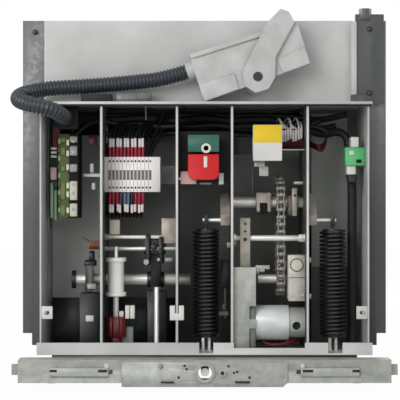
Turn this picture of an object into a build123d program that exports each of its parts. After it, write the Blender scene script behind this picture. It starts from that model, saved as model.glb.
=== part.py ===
"""Withdrawable medium-voltage vacuum circuit breaker, shown with its front cover off.

Millimetres. +X is to the right as one faces the mechanism, +Y goes back to the contacts and
+Z is up. The origin is on the floor, under the middle of the breaker.
"""

import os
from math import asin, atan2, cos, hypot, pi, radians, sin, tan

from build123d import *

# Overall envelope and sheet metal
sheet_width = 638
sheet_top = 637
sheet_gauge = 3
partition_gauge = 4
back_gauge = 4
seat_gap = 0.3
shaft_clearance = 0.5

# Mechanism box, open at the front
box_width = 562
box_front = -260
box_depth = 190
floor_bottom = 58
floor_lip_height = 21
roof_top = 490
roof_lip_height = 8
roof_overhang = 5
inner_partition_x = 47
outer_partition_x = 176

# Sheet behind the roof, with a wing each side of the box
sheet_set_back = 80
sheet_gap = 1
sheet_return = 18
sheet_right = 262
wing_foot = 88
wing_step_width = 16
wing_step_height = 21

# Main shaft of the mechanism
main_shaft_radius = 10
main_shaft_y = -150
main_shaft_z = 181
main_shaft_left = -235
main_shaft_right = -24

# Storage shaft, its cranks and the closing springs
storage_shaft_radius = 10
storage_shaft_y = -158
storage_shaft_z = 318
crank_width = 16
crank_thickness_gap = 1
crank_pin_radius = 3.5
crank_pin_y = -205
crank_pin_z = 287
left_spring_x = 3
right_spring_x = 223
spring_radius = 23
spring_wire = 5.4
spring_pitch = 7.2
spring_turns = 26
spring_bottom = 84

# Chain drive from the gearbox up to the storage shaft
chain_pitch = 12.7
chain_plate_height = 11.8
chain_plate_gauge = 1.6
chain_roller_radius = 4.2
chain_inner_width = 7.8
chain_x = 133.5
upper_teeth = 21
lower_teeth = 13
lower_sprocket_y = -174
lower_sprocket_z = 183
gear_shaft_radius = 8

# Charging motor and gearbox
motor_radius = 30
motor_y = -214
motor_z = 110
motor_left = 88
motor_length = 57
motor_cap_radius = 26
motor_cap_length = 28

# Damper
damper_x = -154
damper_y = -205
damper_radius = 14
damper_bottom = 162
damper_length = 53

# Push buttons and charge indicator
button_width = 53
button_x = -1.7
button_front = -262
button_depth = 14
button_travel = 5
open_button_bottom = 404
open_button_height = 29
close_button_bottom = 356
close_button_height = 44
indicator_x = 107.5
indicator_width = 49
indicator_bottom = 389
indicator_height = 61

# Epoxy poles and contact arms
pole_spacing = 210
pole_width = 134
pole_depth = 156
pole_bottom = 84
pole_height = 484
lower_arm_z = 216
arm_spacing = 275
arm_radius = 24
arm_end = 245
tulip_radius = 39
tulip_bore = 24.5
tulip_length = 62

# Truck
truck_width = 520
truck_back = 190
rail_height = 34
rail_gauge = 8
axle_radius = 6
rail_bottom = 14
wheel_radius = 19
wheel_width = 14
front_wheel_y = -180
back_wheel_y = 140
crossbar_width = 626
crossbar_front = -300
crossbar_depth = 42
crossbar_bottom = 15.5
crossbar_top = 54
crossbar_gauge = 3
centre_plate_width = 278
centre_plate_bottom = 9
centre_plate_gauge = 3
socket_x = 0.7
socket_z = 33
socket_radius = 17
socket_bore = 11.5
screw_radius = 7
latch_travel = 12
latch_reach = 11.5
latch_height = 18
latch_thickness = 8
latch_z = 37
grip_studs = (170, 250)
grip_stud_radius = 3
grip_slot = (30.5, 37.5)
grip_gap = 1
grip_gauge = 4

# Guide post beside the sheet
post_left = 263.5
post_right = 314
post_front = -192
post_depth = 34
post_top = 647
knob_radius = 11
knob_height = 10

# Control plug and its conduit
plug_pin_x = 91
plug_tilt = 17.5
plug_front = -243
plug_depth = 50
plug_left = -100
plug_right = 93
plug_low = -13
plug_high = 72
lever_gap = 5
lever_gauge = 3
conduit_diameter = 27
gland_radius = 16
gland_length = 13
gland_v = 47
saddle_left = -213
saddle_right = -160
saddle_height = 14
riser_left = -152
riser_right = -92
riser_height = 17
harness_diameter = 14

# Places that follow from the sizes above
box_half = box_width / 2
inner_half = box_half - sheet_gauge
box_back = box_front + box_depth
lip_back = box_front + sheet_gauge
floor_top = floor_bottom + sheet_gauge
roof_underside = roof_top - sheet_gauge
sheet_front = box_front + sheet_set_back
partition_xs = [-outer_partition_x, -inner_partition_x, inner_partition_x, outer_partition_x]
crank_inner_left = inner_partition_x - partition_gauge / 2 - crank_thickness_gap
crank_inner_right = outer_partition_x + partition_gauge / 2 + crank_thickness_gap
upper_chain_radius = chain_pitch / (2 * sin(pi / upper_teeth))
lower_chain_radius = chain_pitch / (2 * sin(pi / lower_teeth))
arm_levels = [lower_arm_z, lower_arm_z + arm_spacing]
pole_xs = [-pole_spacing, 0, pole_spacing]
pole_front = box_back + back_gauge
crossbar_back = crossbar_front + crossbar_depth
pole_back = pole_front + pole_depth
tilt = radians(plug_tilt)
plug_pin_z = roof_top + seat_gap - plug_left * sin(tilt) - plug_low * cos(tilt)
plug_middle_y = plug_front + plug_depth / 2


def save(name, shape):
    """Write one sub-part to its own file."""
    export_step(shape, f"parts/{name}.step")


def block(x, y, z):
    """A box between the low and high ends given for each axis."""
    middle = [(low + high) / 2 for low, high in (x, y, z)]
    size = [high - low for low, high in (x, y, z)]
    return Pos(*middle) * Box(*size)


def rod_x(radius, x, y, z):
    """A cylinder along X, from x[0] to x[1]."""
    return Pos((x[0] + x[1]) / 2, y, z) * Rot(0, 90, 0) * Cylinder(radius, x[1] - x[0])


def rod_y(radius, x, y, z):
    """A cylinder along Y, from y[0] to y[1]."""
    return Pos(x, (y[0] + y[1]) / 2, z) * Rot(90, 0, 0) * Cylinder(radius, y[1] - y[0])


def rod_z(radius, x, y, z):
    """A cylinder along Z, from z[0] to z[1]."""
    return Pos(x, y, (z[0] + z[1]) / 2) * Cylinder(radius, z[1] - z[0])


def plate_xz(points, y):
    """A flat plate that faces the front, with the outline given as X and Z."""
    face = make_face(Polyline(*[(px, y[0], pz) for px, pz in points], close=True))
    return extrude(face, y[1] - y[0], dir=(0, 1, 0))


def plate_yz(points, x):
    """A flat plate that faces the side, with the outline given as Y and Z."""
    face = make_face(Polyline(*[(x[0], py, pz) for py, pz in points], close=True))
    return extrude(face, x[1] - x[0], dir=(1, 0, 0))


def corner_radii(points):
    """For each corner of a cord's route, the largest arc that its two runs allow."""
    radii = []
    for before, here, after in zip(points, points[1:], points[2:]):
        turn = (here - before).get_angle(after - here)
        shorter = min((here - before).length, (after - here).length)
        radii.append(0.45 * shorter / tan(radians(turn / 2)))
    return radii


def cord_tube(name, route, diameter):
    """A round cord along a route of straight runs joined by tangent arcs."""
    points = [Vector(*p) for p in route]
    radii = corner_radii(points)
    path = FilletPolyline(*points, radius=radii)
    tube = sweep(Plane(path @ 0, z_dir=path % 0) * Circle(diameter / 2), path=path)
    expected = pi * diameter**2 / 4 * path.length
    print(name, "radii", [round(r, 1) for r in radii], "length", round(path.length, 1))
    print(name, "volume", round(tube.volume), "expected", round(expected))
    return tube


def make_roof():
    """The roof sheet, folded down at its front edge."""
    half = box_half + roof_overhang
    back = box_back + back_gauge
    sheet = block((-box_half, box_half), (box_front, back), (roof_underside, roof_top))
    sheet += block((-half, half), (box_front, sheet_front - seat_gap), (roof_underside, roof_top))
    lip = block((-half, half), (box_front, lip_back), (roof_top - roof_lip_height, roof_top))
    return sheet + lip


def make_floor_tray():
    """The floor sheet, with a front lip that is cut away at the springs and lowered at the motor."""
    half = box_half + roof_overhang
    lip_top = floor_bottom + floor_lip_height
    tray = block((-half, half), (box_front, box_back + back_gauge), (floor_bottom, floor_top))
    tray += block((-half, half), (box_front, lip_back), (floor_bottom, lip_top))
    for spring_x in (left_spring_x, right_spring_x):
        tray -= block((spring_x - 12, spring_x + 12), (box_front - 1, lip_back + 1), (floor_top, lip_top + 1))
    recess = (inner_partition_x + 3, outer_partition_x - 5)
    return tray - block(recess, (box_front - 1, lip_back + 1), (lip_top - 9, lip_top + 1))


def make_side_wall(side):
    """One side wall of the box, seated under the roof and on the floor tray."""
    outer, inner = side * box_half, side * inner_half
    return block(sorted((outer, inner)), (lip_back, box_back), (floor_top, roof_underside))


def shaft_hole(radius, y, z, x):
    """A round hole through a partition at x."""
    return rod_x(radius, (x - partition_gauge, x + partition_gauge), y, z)


def make_partition(x):
    """One upright partition, with its openings for the shafts and the wiring."""
    half = partition_gauge / 2
    sheet = block((x - half, x + half), (lip_back, box_back), (floor_top, roof_underside))
    sheet -= block((x - half - 1, x + half + 1), (-158, -112), (424, 480))
    if x < 0:
        sheet -= shaft_hole(main_shaft_radius + shaft_clearance, main_shaft_y, main_shaft_z, x)
    else:
        sheet -= shaft_hole(storage_shaft_radius + shaft_clearance, storage_shaft_y, storage_shaft_z, x)
    return sheet


def make_back_plate():
    """The plate that closes the box behind and carries the poles."""
    return block((-box_half, box_half), (box_back, box_back + back_gauge), (floor_top, roof_underside))


def make_upper_sheet():
    """The light sheet that rises behind the roof, with its side and top edges folded back."""
    left, right = -box_half + sheet_gap, sheet_right
    front, back = sheet_front, sheet_front + sheet_gauge
    sheet = block((left, right), (front, back), (roof_top, sheet_top))
    sheet += block((left, right), (front, front + sheet_return), (sheet_top - sheet_gauge, sheet_top))
    return sheet


def make_wing(side):
    """One dark wing beside the box, its outer edge folded back and its foot stepped."""
    outer = side * sheet_width / 2
    inner = side * box_half
    step = outer - side * wing_step_width
    front, back = sheet_front, sheet_front + sheet_gauge
    low = wing_foot - wing_step_height
    outline = [(outer, wing_foot), (outer, sheet_top), (inner, sheet_top), (inner, low), (step, low),
               (step, wing_foot)]
    if side > 0:
        outline = outline[::-1]
    wing = plate_xz(outline, (front, back))
    fold = block(sorted((outer, outer - side * sheet_gauge)), (front, front + sheet_return),
                 (wing_foot, sheet_top))
    flange = block(sorted((inner, inner + side * sheet_gauge)), (front, front + sheet_return + 10),
                   (low, roof_underside))
    return wing + fold + flange


def make_main_shaft():
    """The main shaft with its collars and the levers that hang on it."""
    y, z = main_shaft_y, main_shaft_z
    shaft = rod_x(main_shaft_radius, (main_shaft_left, main_shaft_right), y, z)
    shaft += rod_x(16, (main_shaft_left, main_shaft_left + 7), y, z)
    for x in (-101, -77):
        shaft += rod_x(14, (x, x + 6), y, z)
    lever = plate_yz([(y - 40, z - 18), (y + 12, z - 16), (y + 14, z + 10), (y - 30, z + 26)], (-209, -196))
    shaft += lever
    arm = plate_yz([(y - 14, z - 12), (y + 14, z - 12), (y + 6, z + 68), (y - 30, z + 68)], (-95, -77))
    return shaft + arm


def make_storage_shaft():
    """The storage shaft with a crank at each end, each crank with the pin that pulls its spring."""
    y, z = storage_shaft_y, storage_shaft_z
    left, right = crank_inner_left - crank_width, crank_inner_right + crank_width
    shaft = rod_x(storage_shaft_radius, (left, right), y, z)
    for inner, spring_x in ((left, left_spring_x), (crank_inner_right, right_spring_x)):
        x = (inner, inner + crank_width)
        outline = [(y + 16, z - 14), (y + 16, z + 12), (y - 12, z + 16), (crank_pin_y - 10, crank_pin_z + 8),
                   (crank_pin_y - 8, crank_pin_z - 9)]
        shaft += plate_yz(outline, x)
        pin_end = spring_x - 6 if spring_x < inner else spring_x + 6
        shaft += rod_x(crank_pin_radius, sorted((inner + crank_width / 2, pin_end)), crank_pin_y, crank_pin_z)
    return shaft


def make_closing_spring(x):
    """One closing spring, its close-wound coils drawn as rings."""
    inner = spring_radius - spring_wire
    points = [(inner, 0)]
    for turn in range(spring_turns):
        low = turn * spring_pitch
        points += [(spring_radius - spring_wire / 2, low), (spring_radius, low + spring_pitch / 2)]
    top = spring_turns * spring_pitch
    points += [(spring_radius - spring_wire / 2, top), (inner, top)]
    face = make_face(Polyline(*[(r, 0, z) for r, z in points], close=True))
    coil = revolve(face, Axis.Z, 360)
    return Pos(x, crank_pin_y, spring_bottom) * coil


def make_spring_fittings(x):
    """The end plugs of one spring, its hook on the crank pin and its foot on the floor."""
    top = spring_bottom + spring_turns * spring_pitch
    y = crank_pin_y
    inner = spring_radius - spring_wire - seat_gap
    upper = rod_z(inner, x, y, (top - 10, top)) + rod_z(3, x, y, (top - 5, crank_pin_z - crank_pin_radius - 3))
    eye_low = crank_pin_z - crank_pin_radius - 5
    eye = block((x - 3, x + 3), (y - 9, y + 9), (eye_low, crank_pin_z + 9))
    eye -= rod_x(crank_pin_radius + seat_gap, (x - 5, x + 5), y, crank_pin_z)
    upper += eye
    lower = rod_z(inner, x, y, (spring_bottom, spring_bottom + 10))
    for cheek in (x - 7.4, x + 3):
        lower += block((cheek, cheek + 4.4), (y - 9, y + 9), (floor_top, spring_bottom + 2))
    return upper, lower


def chain_path():
    """The centre line of the chain in the YZ plane, as a closed wire round both sprockets."""
    upper = (storage_shaft_y, storage_shaft_z)
    lower = (lower_sprocket_y, lower_sprocket_z)
    span = hypot(upper[0] - lower[0], upper[1] - lower[1])
    lean = atan2(upper[1] - lower[1], upper[0] - lower[0])
    spread = asin((upper_chain_radius - lower_chain_radius) / span)
    ends = []
    for side in (1, -1):
        normal = lean + side * (pi / 2 + spread)
        for centre, radius in ((upper, upper_chain_radius), (lower, lower_chain_radius)):
            ends.append((centre[0] + radius * cos(normal), centre[1] + radius * sin(normal)))
    return upper, lower, ends, lean


def chain_band(offset):
    """The region inside a line that runs parallel to the chain's centre line."""
    upper, lower, ends, lean = chain_path()
    span = hypot(upper[0] - lower[0], upper[1] - lower[1])
    grown_upper = upper_chain_radius + offset
    grown_lower = lower_chain_radius + offset
    spread = asin((grown_upper - grown_lower) / span)
    corners = []
    for side in (1, -1):
        normal = lean + side * (pi / 2 + spread)
        for centre, radius in ((upper, grown_upper), (lower, grown_lower)):
            corners.append((centre[0] + radius * cos(normal), centre[1] + radius * sin(normal)))
    outline = [corners[0], corners[1], corners[3], corners[2]]
    region = plate_yz(outline, (0, 1))
    region += rod_x(grown_upper, (0, 1), *upper)
    region += rod_x(grown_lower, (0, 1), *lower)
    return region


def make_chain():
    """The drive chain, one closed loop of plates and rollers."""
    half = chain_inner_width / 2
    grow = chain_plate_height / 2
    loop = chain_band(grow) - chain_band(-grow)
    side = Pos(chain_x + half, 0, 0) * scale(loop, by=(2 * chain_plate_gauge, 1, 1))
    other = Pos(chain_x - half - 2 * chain_plate_gauge, 0, 0) * scale(loop, by=(2 * chain_plate_gauge, 1, 1))
    core = chain_band(chain_roller_radius) - chain_band(-chain_roller_radius)
    middle = Pos(chain_x - half, 0, 0) * scale(core, by=(chain_inner_width, 1, 1))
    return side + other + middle


def make_sprocket(teeth, chain_radius, y, z, bore):
    """One toothed wheel that fills the chain's inner width, set on its shaft."""
    root = chain_radius - chain_roller_radius - seat_gap
    wheel = rod_x(root, (chain_x - chain_inner_width / 2 + 0.5, chain_x + chain_inner_width / 2 - 0.5), y, z)
    return wheel - rod_x(bore, (chain_x - 20, chain_x + 20), y, z)


def make_gearbox():
    """The worm gearbox on the right of the motor bay, with its front plate and output shaft."""
    right = outer_partition_x - partition_gauge / 2
    left = 144
    body = block((left, right), (-226, -150), (150, 226))
    body += rod_y(10, 159, (-232, -226), 210)
    shaft = rod_x(gear_shaft_radius, (94, left + 1), lower_sprocket_y, lower_sprocket_z)
    return body + shaft


def make_motor():
    """The charging motor, lying along X with its brush cap to the right."""
    end = motor_left + motor_length
    motor = rod_x(motor_radius, (motor_left, end), motor_y, motor_z)
    motor += rod_x(motor_cap_radius, (end, end + motor_cap_length), motor_y, motor_z)
    hole = rod_y(7, end + 13, (motor_y - 40, motor_y - 15), motor_z - 4)
    return motor - hole


def make_motor_bracket():
    """The folded bracket on the partition that carries the motor by its left end."""
    left = inner_partition_x + partition_gauge / 2
    front = motor_y - motor_radius - 4
    face = plate_xz([(left, floor_top), (left + 28, floor_top), (left + 28, 140), (left + 39, 140),
                     (left + 39, 207), (left, 207)], (front, front + sheet_gauge))
    web = block((left + 25, left + 39), (front, motor_y + 25), (motor_z - 8, motor_z + 8))
    side = block((left, left + sheet_gauge), (front, motor_y + 25), (floor_top, 207))
    cup = block((left + 28, motor_left), (motor_y - 20, motor_y + 20), (motor_z - 8, motor_z + 8))
    return face + side + web + cup


def make_damper():
    """The oil damper between the main shaft's lever and the floor."""
    top = damper_bottom + damper_length
    body = rod_z(damper_radius, damper_x, damper_y, (damper_bottom, top))
    body += rod_z(18, damper_x, damper_y, (top, top + 7))
    body += rod_z(18, damper_x, damper_y, (damper_bottom - 7, damper_bottom))
    body += rod_z(3.5, damper_x, damper_y, (top + 7, top + 26))
    return body + rod_z(5, damper_x, damper_y, (floor_top, damper_bottom - 7))


def make_button(bottom, height):
    """One push button: its face plate and the stem that slides in the button frame."""
    face = block((button_x - button_width / 2, button_x + button_width / 2),
                 (button_front, button_front + button_depth), (bottom, bottom + height))
    stem_z = bottom + height / 2
    return face + rod_y(5, button_x, (button_front + button_depth, button_front + 60), stem_z)


def make_button_frame():
    """The bracket across bay three that guides both button stems."""
    x = (-inner_partition_x + partition_gauge / 2, inner_partition_x - partition_gauge / 2)
    y = (button_front + button_depth + button_travel + 6, button_front + button_depth + button_travel + 9)
    frame = block(x, y, (352, 440))
    for bottom, height in ((open_button_bottom, open_button_height), (close_button_bottom, close_button_height)):
        frame -= rod_y(5 + shaft_clearance, button_x, (y[0] - 1, y[1] + 1), bottom + height / 2)
    return frame


def make_indicator():
    """The spring-charge indicator housing and the bracket that hangs it from the partition."""
    x = (indicator_x - indicator_width / 2, indicator_x + indicator_width / 2)
    z = (indicator_bottom, indicator_bottom + indicator_height)
    body = block(x, (button_front, button_front + 30), z)
    body += block((inner_partition_x + partition_gauge / 2, x[0] + 1), (-240, -237), (400, 430))
    return body


def make_terminal_block():
    """The row of terminals across bay two, on its rail."""
    x = (-outer_partition_x + partition_gauge / 2, -77)
    body = block(x, (-205, -160), (336, 397))
    rail = block((x[0], -inner_partition_x - partition_gauge / 2), (-160, -154), (350, 383))
    return body + rail


def make_auxiliary_switch():
    """The auxiliary switch stack on the left wall."""
    return block((-253, -236), (-195, -130), (291, 436)) + block((-237, -220), (-200, -140), (292, 430))


def make_switch_bracket():
    """The plate that holds the auxiliary switch off the left wall."""
    return block((-inner_half, -inner_half + 3.5), (-167, -110), (270, 469)) + block(
        (-inner_half, -253), (-150, -147), (300, 420))


def make_opening_rod():
    """The upright guide rod of the opening spring, on its foot."""
    rod = rod_z(4.4, -83.5, -200, (floor_top, 170))
    return rod + block((-103, -60), (-212, -188), (floor_top, floor_top + 7))


def make_lever_plate():
    """The perforated lever on the cross rod in bay four."""
    return block((61.5, 79), (-225, -221), (206, 291))


def make_cross_rods():
    """The plain rods that tie the partitions together."""
    left4 = inner_partition_x + partition_gauge / 2
    right4 = outer_partition_x - partition_gauge / 2
    return Compound(children=[
        rod_x(5, (left4, right4), -216, 256),
        rod_x(3.5, (-outer_partition_x + partition_gauge / 2, -inner_partition_x - partition_gauge / 2), -185, 257),
    ])


def make_device():
    """The green relay on the right wall."""
    return block((250, inner_half), (-225, -185), (357, 435))


def make_buffer():
    """The stop buffer that straddles the second partition."""
    x = -inner_partition_x
    z = (117, 142)
    half = partition_gauge / 2 + seat_gap
    body = block((x - 12, x + 12), (box_front, box_front + 12), z)
    return body - block((x - half, x + half), (lip_back - seat_gap, lip_back + 12), (z[0] - 1, z[1] + 1))


def make_pole(x):
    """One epoxy pole, bolted to the back plate, with its sheds and the bosses for both arms."""
    half = pole_width / 2
    middle = (pole_front + pole_back) / 2
    top = pole_bottom + pole_height
    body = block((x - half, x + half), (pole_front, pole_back), (pole_bottom, top))
    body = fillet(body.edges().filter_by(Axis.Z).group_by(Axis.Y)[-1], 50)
    for level in arm_levels:
        body += rod_y(46, x, (middle, pole_back + 12), level)
        body -= rod_y(arm_radius + seat_gap, x, (pole_back - 30, pole_back + 20), level)
    return body


def make_arm(x, z):
    """One contact arm with its tulip contact."""
    arm = rod_y(arm_radius, x, (pole_back - 25, arm_end), z)
    cup = rod_y(tulip_radius, x, (arm_end, arm_end + tulip_length), z)
    cup -= rod_y(tulip_bore, x, (arm_end + 14, arm_end + tulip_length + 1), z)
    return arm + cup


def make_truck_deck():
    """The truck's deck, on which the box stands."""
    half = truck_width / 2
    return block((-half, half), (crossbar_back, truck_back), (rail_bottom + rail_height, floor_bottom))


def make_truck_rails():
    """The two side rails and the rear rail under the deck, bored for the axles and the screw."""
    half = truck_width / 2
    z = (rail_bottom, rail_bottom + rail_height)
    rails = []
    for side in (-1, 1):
        rail = block(sorted((side * half, side * (half - rail_gauge))), (crossbar_back, truck_back), z)
        for y in (front_wheel_y, back_wheel_y):
            rail -= rod_x(axle_radius + shaft_clearance, (-half - 1, half + 1), y, wheel_radius)
        rails.append(rail)
    inside = half - rail_gauge - seat_gap
    rear = block((-inside, inside), (truck_back - rail_gauge, truck_back), z)
    rails.append(rear - rod_y(screw_radius + shaft_clearance, socket_x, (truck_back - 20, truck_back + 1), socket_z))
    return Compound(children=rails)


def make_wheels():
    """The four wheels on stub axles in the truck's side rails."""
    wheels = []
    for side in (-1, 1):
        inner = side * truck_width / 2
        for y in (front_wheel_y, back_wheel_y):
            near, far = inner + side, inner + side * (1 + wheel_width)
            wheel = rod_x(wheel_radius, sorted((near, far)), y, wheel_radius)
            wheel += rod_x(axle_radius, sorted((inner - side * rail_gauge, near)), y, wheel_radius)
            wheels.append(wheel)
    return Compound(children=wheels)


def make_crossbar():
    """The folded crossbar at the truck's front."""
    half = crossbar_width / 2
    y = (crossbar_front, crossbar_front + crossbar_depth)
    bar = block((-half, half), y, (crossbar_bottom, crossbar_top))
    inside = block((-half - 1, half + 1), (y[0] + crossbar_gauge, y[1] + 1),
                   (crossbar_bottom + crossbar_gauge, crossbar_top - crossbar_gauge))
    bar -= inside
    bar -= rod_y(socket_bore + 1, socket_x, (y[0] - 1, y[0] + crossbar_gauge + 1), socket_z)
    for side in (-1, 1):
        for stud in grip_studs:
            near = side * (stud - latch_travel - grip_stud_radius - 1)
            far = side * (stud + grip_stud_radius + 1)
            bar -= block(sorted((near, far)), (y[0] - 1, y[0] + crossbar_gauge + 1), grip_slot)
    return bar


def make_centre_plate():
    """The raised plate in the crossbar's middle with the racking socket."""
    half = centre_plate_width / 2
    front = crossbar_front - centre_plate_gauge
    low, high = centre_plate_bottom, crossbar_top - 3
    plate = plate_xz([(-half, low), (half - 8, low), (half, low + 7), (half, high), (-half, high)],
                     (front, crossbar_front))
    plate += rod_y(socket_radius, socket_x, (front - 4, front), socket_z)
    return plate - rod_y(socket_bore, socket_x, (front - 10, crossbar_front + 1), socket_z)


def make_screw():
    """The racking screw, its driven end in the socket."""
    return rod_y(screw_radius, socket_x, (crossbar_front + 6, truck_back), socket_z)


def make_latch(side):
    """One sliding latch of the crossbar: the tongue at the end and the grip that draws it in."""
    tip = side * (crossbar_width / 2 + latch_reach)
    inner = side * 150
    y = (crossbar_front + crossbar_gauge + 5, crossbar_front + crossbar_gauge + 5 + latch_thickness)
    latch = block(sorted((tip, inner)), y, (latch_z - latch_height / 2, latch_z + latch_height / 2))
    grip_y = (crossbar_front - grip_gap - grip_gauge, crossbar_front - grip_gap)
    grip_z = sum(grip_slot) / 2
    for stud in grip_studs:
        latch += rod_y(grip_stud_radius, side * stud, (grip_y[1], y[0]), grip_z)
    ends = [side * (x + reach) for x, reach in zip(grip_studs, (-9, 9))]
    return latch + block(sorted(ends), grip_y, (grip_z - 7, grip_z + 7))


def plug_place(u, v):
    """X and Z of a point given along and across the tilted plug, from its pin."""
    return plug_pin_x + u * cos(tilt) - v * sin(tilt), plug_pin_z + u * sin(tilt) + v * cos(tilt)


def make_plug_local(points, y):
    """A plate of the plug, with its outline given along and across the tilted housing."""
    return plate_xz([plug_place(u, v) for u, v in points], y)


def make_plug_housing():
    """The cast hood of the control plug."""
    y = (plug_front, plug_front + plug_depth)
    hood = make_plug_local([(plug_left, plug_low), (plug_right, plug_low + 8), (plug_right, plug_high),
                            (plug_left, plug_high)], y)
    x, z = plug_place(plug_left, gland_v)
    gland = Pos(x, plug_middle_y, z) * Rot(0, -90 - plug_tilt, 0) * Cylinder(
        gland_radius, gland_length, align=(Align.CENTER, Align.CENTER, Align.MIN))
    return hood + gland


def make_plug_pins():
    """The two pivot pins of the bail, each with the boss that holds the cheek off the hood."""
    pins = []
    for face, out in ((plug_front, -1), (plug_front + plug_depth, 1)):
        boss_end = face + out * (lever_gap - seat_gap)
        pin_end = face + out * (lever_gap + lever_gauge + seat_gap)
        head_end = pin_end + out * 2
        pin = rod_y(11, plug_pin_x, sorted((face, boss_end)), plug_pin_z)
        pin += rod_y(5, plug_pin_x, sorted((boss_end, head_end)), plug_pin_z)
        pins.append(pin + rod_y(8, plug_pin_x, sorted((pin_end, head_end)), plug_pin_z))
    return Compound(children=pins)


def make_plug_lever():
    """The locking bail: two cheeks on the hood's pins and the bar that joins them."""
    outline = [(41, 82), (72, 99), (84, 90), (88, 70), (39, 23), (28, -10), (12, -25), (-12, -25), (-26, -8),
               (-22, 16)]
    front = (plug_front - lever_gap - lever_gauge, plug_front - lever_gap)
    back_face = plug_front + plug_depth + lever_gap
    cheeks = make_plug_local(outline, front) + make_plug_local(outline, (back_face, back_face + lever_gauge))
    cheeks -= rod_y(5 + seat_gap, plug_pin_x, (front[0] - 1, back_face + lever_gauge + 1), plug_pin_z)
    bar_x, bar_z = plug_place(73, 89)
    return cheeks + rod_y(6, bar_x, (front[0], back_face + lever_gauge), bar_z)


def make_plug_stud():
    """The stud welded to the sheet that the parked plug hangs on."""
    x, z = plug_place(75, 5)
    return block((x - 12, x + 12), (plug_front + plug_depth + seat_gap, sheet_front), (z - 9, z + 9))


def make_guide_post():
    """The folded post at the right of the sheet, on its own foot, with a knob on top."""
    x = (post_left, post_right)
    y = (post_front, post_front + post_depth)
    post = block(x, (y[0], y[0] + sheet_gauge), (roof_top, post_top))
    post += block((x[0], x[0] + sheet_gauge), (y[0], sheet_front), (roof_top, post_top))
    post += block((x[0], box_half), (y[0], sheet_front), (roof_top, roof_top + 8))
    return post + rod_z(knob_radius, (x[0] + x[1]) / 2 - 7, y[0] + 6, (post_top - 10, post_top + knob_height))


def make_gland_bracket():
    """The bracket under the roof with the gland that the conduit leaves by."""
    x, y, z = conduit_route[0]
    plate = block((x - 22, x + 22), (y + gland_length, y + gland_length + sheet_gauge), (z - 20, roof_underside))
    return plate + rod_y(15, x, (y, y + gland_length), z)


def make_saddle():
    """The rubber saddle on the roof that the conduit lies on."""
    return block((saddle_left, saddle_right), (plug_middle_y - 18, plug_middle_y + 18),
                 (roof_top, roof_top + saddle_height))


def make_riser():
    """The pale block on the roof beside the saddle."""
    return block((riser_left, riser_right), (plug_middle_y - 14, plug_middle_y + 24),
                 (roof_top, roof_top + riser_height))


conduit_route = [(-240, -243, 464), (-240, -270, 464), (-258, -293, 476), (-292, -296, 482),
                 (-318, -272, 491), (-316, -240, 503), (-288, -222, 512), (-262, -219, 515.5),
                 (-215, -218.5, 518), (-168, -218, 521.5), (-118, -218, 526)]
conduit_route += [(x, plug_middle_y, z) for x, z in (
    plug_place(plug_left - gland_length - 40, gland_v), plug_place(plug_left - gland_length, gland_v))]

harness_route = [(-240, -227, 464), (-240, -188, 464), (-215, -150, 472), (-176, -140, 462),
                 (-110, -132, 470), (-47, -136, 462), (0, -132, 470), (47, -136, 462), (110, -132, 468),
                 (176, -138, 452), (210, -142, 437), (243, -158, 446), (258, -168, 420), (257, -172, 360)]


def main():
    os.makedirs("parts", exist_ok=True)
    save("roof_plate", make_roof())
    save("floor_tray", make_floor_tray())
    save("back_plate", make_back_plate())
    save("left_side_wall", make_side_wall(-1))
    save("right_side_wall", make_side_wall(1))
    for number, x in enumerate(partition_xs, 1):
        save(f"partition_{number}", make_partition(x))
    save("upper_sheet", make_upper_sheet() + make_plug_stud())
    save("left_wing", make_wing(-1))
    save("right_wing", make_wing(1))
    save("main_shaft", make_main_shaft())
    save("storage_shaft", make_storage_shaft())
    for name, x in (("left", left_spring_x), ("right", right_spring_x)):
        save(f"closing_spring_{name}", make_closing_spring(x))
    fittings = [make_spring_fittings(x) for x in (left_spring_x, right_spring_x)]
    save("spring_hooks", Compound(children=[hook for hook, foot in fittings]))
    save("spring_feet", Compound(children=[foot for hook, foot in fittings]))
    save("drive_chain", make_chain())
    save("sprockets", Compound(children=[
        make_sprocket(upper_teeth, upper_chain_radius, storage_shaft_y, storage_shaft_z, storage_shaft_radius),
        make_sprocket(lower_teeth, lower_chain_radius, lower_sprocket_y, lower_sprocket_z, gear_shaft_radius)]))
    save("gearbox", make_gearbox())
    save("motor", make_motor())
    save("motor_bracket", make_motor_bracket())
    save("damper", make_damper())
    save("open_button", make_button(open_button_bottom, open_button_height))
    save("close_button", make_button(close_button_bottom, close_button_height))
    save("button_frame", make_button_frame())
    save("charge_indicator", make_indicator())
    save("terminal_block", make_terminal_block())
    save("auxiliary_switch", make_auxiliary_switch())
    save("switch_bracket", make_switch_bracket())
    save("opening_spring_rod", make_opening_rod())
    save("lever_plate", make_lever_plate())
    save("cross_rods", make_cross_rods())
    save("relay", make_device())
    save("stop_buffer", make_buffer())
    for number, x in enumerate(pole_xs, 1):
        save(f"pole_{number}", make_pole(x))
    for name, z in zip(("lower", "upper"), arm_levels):
        save(f"{name}_contact_arms", Compound(children=[make_arm(x, z) for x in pole_xs]))
    save("truck_deck", make_truck_deck())
    save("truck_rails", make_truck_rails())
    save("wheels", make_wheels())
    save("crossbar", make_crossbar())
    save("centre_plate", make_centre_plate())
    save("racking_screw", make_screw())
    save("left_latch", make_latch(-1))
    save("right_latch", make_latch(1))
    save("plug_housing", make_plug_housing())
    save("plug_pins", make_plug_pins())
    save("plug_lever", make_plug_lever())
    save("guide_post", make_guide_post())
    save("gland_bracket", make_gland_bracket())
    save("conduit_saddle", make_saddle())
    save("roof_block", make_riser())
    save("conduit", cord_tube("conduit", conduit_route, conduit_diameter))
    save("wiring_harness", cord_tube("wiring harness", harness_route, harness_diameter))


main()
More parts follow.
